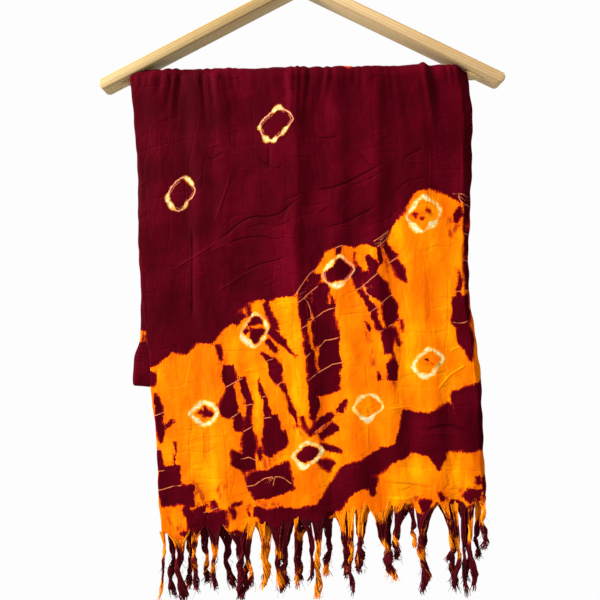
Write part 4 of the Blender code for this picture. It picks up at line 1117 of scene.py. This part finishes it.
def tassels(name, table, hems, hang, seed):
    """The threads of one fringe: they run from the hem to a neck and on as a twisted bundle."""
    random = np.random.default_rng(seed)
    draw = random.uniform
    down = np.linspace(0, 1, STRAND_POINTS)
    curl_down = np.linspace(0, 1, FLUFF_POINTS)
    left_edge, right_edge = FRONT_EDGES[-1][1:]
    strands = []          # path, radii, dye along it, sides and shade of each
    for left, right, neck, neck_drop, tail, tail_drop, bulk, letters in table:
        letter_values = [DYE_VALUES[letter] for letter in letters]
        letter_at = (np.arange(len(letters)) + 0.5) / len(letters)
        roots = []
        for ply, (hem_x, hem_y, hem_z) in enumerate(hems):
            for root in np.arange(left + 0.3, right - 0.3, ROOT_PITCH * (1 + ply)):
                at = root + draw(-0.2, 0.2)
                roots.append((at, np.interp(at, hem_x, hem_y), np.interp(at, hem_x, hem_z)))
        count = len(roots)
        middle = (left + right) / 2
        hem_top = -hem_drop((middle - left_edge) / (right_edge - left_edge))
        hem_front = np.interp(middle, hems[0][0], hems[0][1])
        tail_length = tail_drop - neck_drop
        packed = THREAD_RADIUS * math.sqrt(count / 0.6)
        twist = random.choice([-1, 1]) * draw(0.7, 1.4) * 2 * math.pi
        lump = draw(0, 6.28)
        for n, (root_x, root_y, root_z) in enumerate(roots):
            place = math.sqrt((n * SPREAD) % 1.0)
            # threads keep their order across the neck, so the apron doesn't tangle
            angle = math.pi * (1 - n / count) + draw(-0.5, 0.5)
            length = neck_drop + tail_length * draw(0.86, 1.02)
            if draw() < SHORT_SHARE:
                length = neck_drop + tail_length * draw(0.4, 0.85)
            z = root_z + ROOT_IN - (root_z + ROOT_IN - (hem_top - length)) * down
            depth = hem_top - z
            above = np.clip((root_z - z) / (root_z - (hem_top - neck_drop)), 0, 1)
            below = np.clip((hem_top - neck_drop - z) / tail_length, 0, 1.1)
            gather = 1 - (1 - above) ** 1.9
            ends = (1 + (bulk - 1) * eased(below * 1.6)
                    + 0.5 * bulk * eased((below - 0.7) / 0.4) * draw(0, 1))
            swell = ends * packed * (0.92 + 0.19 * np.sin(depth / 4.6 + lump)
                                     + 0.12 * np.sin(depth / 2.1 + 2 * lump))
            turning = angle + twist * below + draw(-0.2, 0.2)
            loose = eased(below * 3)
            axis_x = neck + (tail - neck) * below + 1.5 * np.sin(depth / 8 + lump) * loose
            axis_y = hem_front + hang + 0.8 * np.cos(depth / 7 + lump) * loose
            bundle_x = axis_x + swell * place * np.cos(turning)
            bundle_y = axis_y + 0.8 * swell * place * np.sin(turning)
            fray = eased((below - 0.55) / 0.45)
            x = (root_x + (bundle_x - root_x) * gather
                 + fray * np.cumsum(random.normal(0, 0.3, STRAND_POINTS))
                 + 0.16 * np.sin(depth / 1.7 + n))
            y = (root_y + (bundle_y - root_y) * gather ** 1.4
                 + fray * np.cumsum(random.normal(0, 0.24, STRAND_POINTS)))
            radii = (THREAD_RADIUS * (1 + 0.22 * np.sin(depth / 1.9 + 3 * n))
                     * (1 - 0.55 * eased((below - 0.8) / 0.25)))
            dye_along = np.interp(depth / tail_drop + draw(-0.05, 0.05), letter_at, letter_values)
            if draw() < MIXED_SHARE:
                dye_along = dye_along * 0.5 + 0.5 * draw(0, 1)
            strands.append((np.stack([x, y, z], axis=1), radii, dye_along, 4, draw(0, 1)))
        for _ in range(max(6, count // 3)):
            # fluff: loose fibres that stand off the bundle
            start_at = draw(0.1, 1.0)
            first = neck_drop + tail_length * start_at
            reach = draw(4, 11)
            out = draw(-1, 1)
            curl = draw(0.8, 4.0) * np.sign(out)
            x = (neck + (tail - neck) * start_at + packed * 0.8 * bulk * out
                 + curl * eased(curl_down * 1.2)
                 + np.sin(curl_down * draw(2, 7) + out) * curl_down)
            y = hem_front + hang + draw(-1, 1) * packed * 0.8 + draw(-1.5, 1.5) * curl_down
            z = hem_top - first - reach * (curl_down * draw(0.3, 1.0))
            value = np.interp((first + reach * curl_down) / tail_drop, letter_at, letter_values)
            strands.append((np.stack([x, y, z], axis=1), 0.2 * (1 - 0.5 * curl_down), value, 3,
                            draw(0, 1)))

    places, dyes, shades, faces = [], [], [], []
    start = 0
    for path, radii, dye_along, sides, shade in strands:
        places.append(strand_tube(path, radii, sides).reshape(-1, 3))
        dyes.append(np.repeat(dye_along, sides))
        shades.append(np.full(len(path) * sides, shade))
        index = start + np.arange(len(path) * sides).reshape(-1, sides)
        beside = np.roll(index, -1, axis=1)
        walls = np.stack([index[:-1], beside[:-1], beside[1:], index[1:]], axis=-1)
        faces += [*walls.reshape(-1, 4).tolist(), index[0, ::-1].tolist(), index[-1].tolist()]
        start += index.size
    fields = {"yarn_dye": np.concatenate(dyes), "yarn_shade": np.concatenate(shades)}
    piece = make_piece(name, np.concatenate(places), faces, fields, yarn)
    bpy.ops.object.shade_smooth_by_angle(angle=math.radians(75))
    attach(piece, "root")
    return piece


# Loosely spun rayon yarn: soft and dull, each thread a little lighter or darker.
yarn, tree, shader = new_finish("twisted_rayon_yarn")
where = node("TexCoord", out="Object")
dye, shade = (node("Attribute", out="Fac", attribute_name=key)
              for key in ("yarn_dye", "yarn_shade"))
colour = node("ValToRGB", (built_up(dye, (speckle(3.5, detail=3), 0.9)),), stops=[
    (0.2, MAROON_YARN), (0.42, "#560A08"), (0.55, "#9C4006"), (0.72, ORANGE_YARN)])
lit = node("MapRange", (shade, 0, 1, 0.5, 1.45))
colour = node("Mix", {0: 1.0, 6: colour, 7: lit}, 2, data_type="RGBA", blend_type="MULTIPLY")
fuzz = node("TexNoise", {"Vector": where, "Scale": 1 / (YARN_TWIST * MM), "Detail": 3})
bump = node("Bump", {"Height": fuzz, "Strength": 0.5, "Distance": 0.0003})
feed(shader, {"Base Color": colour, "Roughness": 0.82, "Normal": bump,
              "Specular IOR Level": 0.04, "Sheen Weight": 0.04, "Sheen Roughness": 0.5,
              "Sheen Tint": linear("#D07050")})

front_hems = [*hems_of(front, 0, FRONT_COLUMNS)]
front_fringe = tassels("front_tassels", FRONT_TASSELS, front_hems, FRONT_HANG, 3)
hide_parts("fringe_front")
under_hems = [*hems_of(under, -1, UNDER_COLUMNS)][::-1]
under_fringe = tassels("under_tassels", UNDER_TASSELS, under_hems, UNDER_HANG, 4)
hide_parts("fringe_under")


# Studio: a pale floor a metre below the fringe, an even pale surround that gives less light
# from below, a soft light from the upper left that brings out the folds, and a weaker one
# behind.
FLOOR_Z = -1.75
FLOOR_WIDE = 2.4
FLOOR_PATCH = 71.4        # mm across a paler patch of the paint
LIGHT_ABOVE = 1.15        # strength of the surround overhead
LIGHT_BELOW = 0.45        # and underfoot

bpy.ops.object.select_all(action="DESELECT")
bpy.ops.mesh.primitive_plane_add(size=FLOOR_WIDE, location=(0, 0, FLOOR_Z))
floor = begin("studio_floor")
bpy.ops.object.mode_set(mode="OBJECT")

# Matt floor paint, rolled on: pale, even and without a gloss.
painted, tree, shader = new_finish("pale_matt_floor_paint")
where = node("TexCoord", out="Object")
uneven = node("TexNoise", {"Vector": where, "Scale": 1 / (FLOOR_PATCH * MM), "Detail": 3})
paint = node("ValToRGB", (uneven,), stops=[(0.35, "#D2CFCA"), (0.65, "#DAD7D2")])
feed(shader, {"Base Color": paint, "Roughness": 0.7})
floor.data.materials.append(painted)

world = bpy.data.worlds.new("surround")
world.use_nodes = True
tree = world.node_tree
up = node("SeparateXYZ", (node("TexCoord", out="Generated"),), "Z")
given = node("MapRange", (up, -0.5, 0.5, LIGHT_BELOW, LIGHT_ABOVE))
seen = node("LightPath", out="Is Camera Ray")
feed(tree.nodes["Background"], {"Color": linear("#FDFDFD"),
                                "Strength": node("Mix", {0: seen, 2: given, 3: 1.0})})
bpy.context.scene.world = world


def soft_light(name, place, aim, size, power):
    lamp = bpy.data.lights.new(name, "AREA")
    lamp.size = size
    lamp.energy = power
    placed = bpy.data.objects.new(name, lamp)
    placed.location = place
    placed.rotation_euler = (Vector(aim) - Vector(place)).to_track_quat("-Z", "Y").to_euler()
    bpy.context.scene.collection.objects.link(placed)


soft_light("key", (-1.75, -0.62, 0.55), (0, 0, -0.38), 0.6, 170)
soft_light("rear", (1.3, 1.4, 0.6), (0, 0, -0.38), 1.0, 40)
bpy.context.scene.view_settings.view_transform = "Standard"
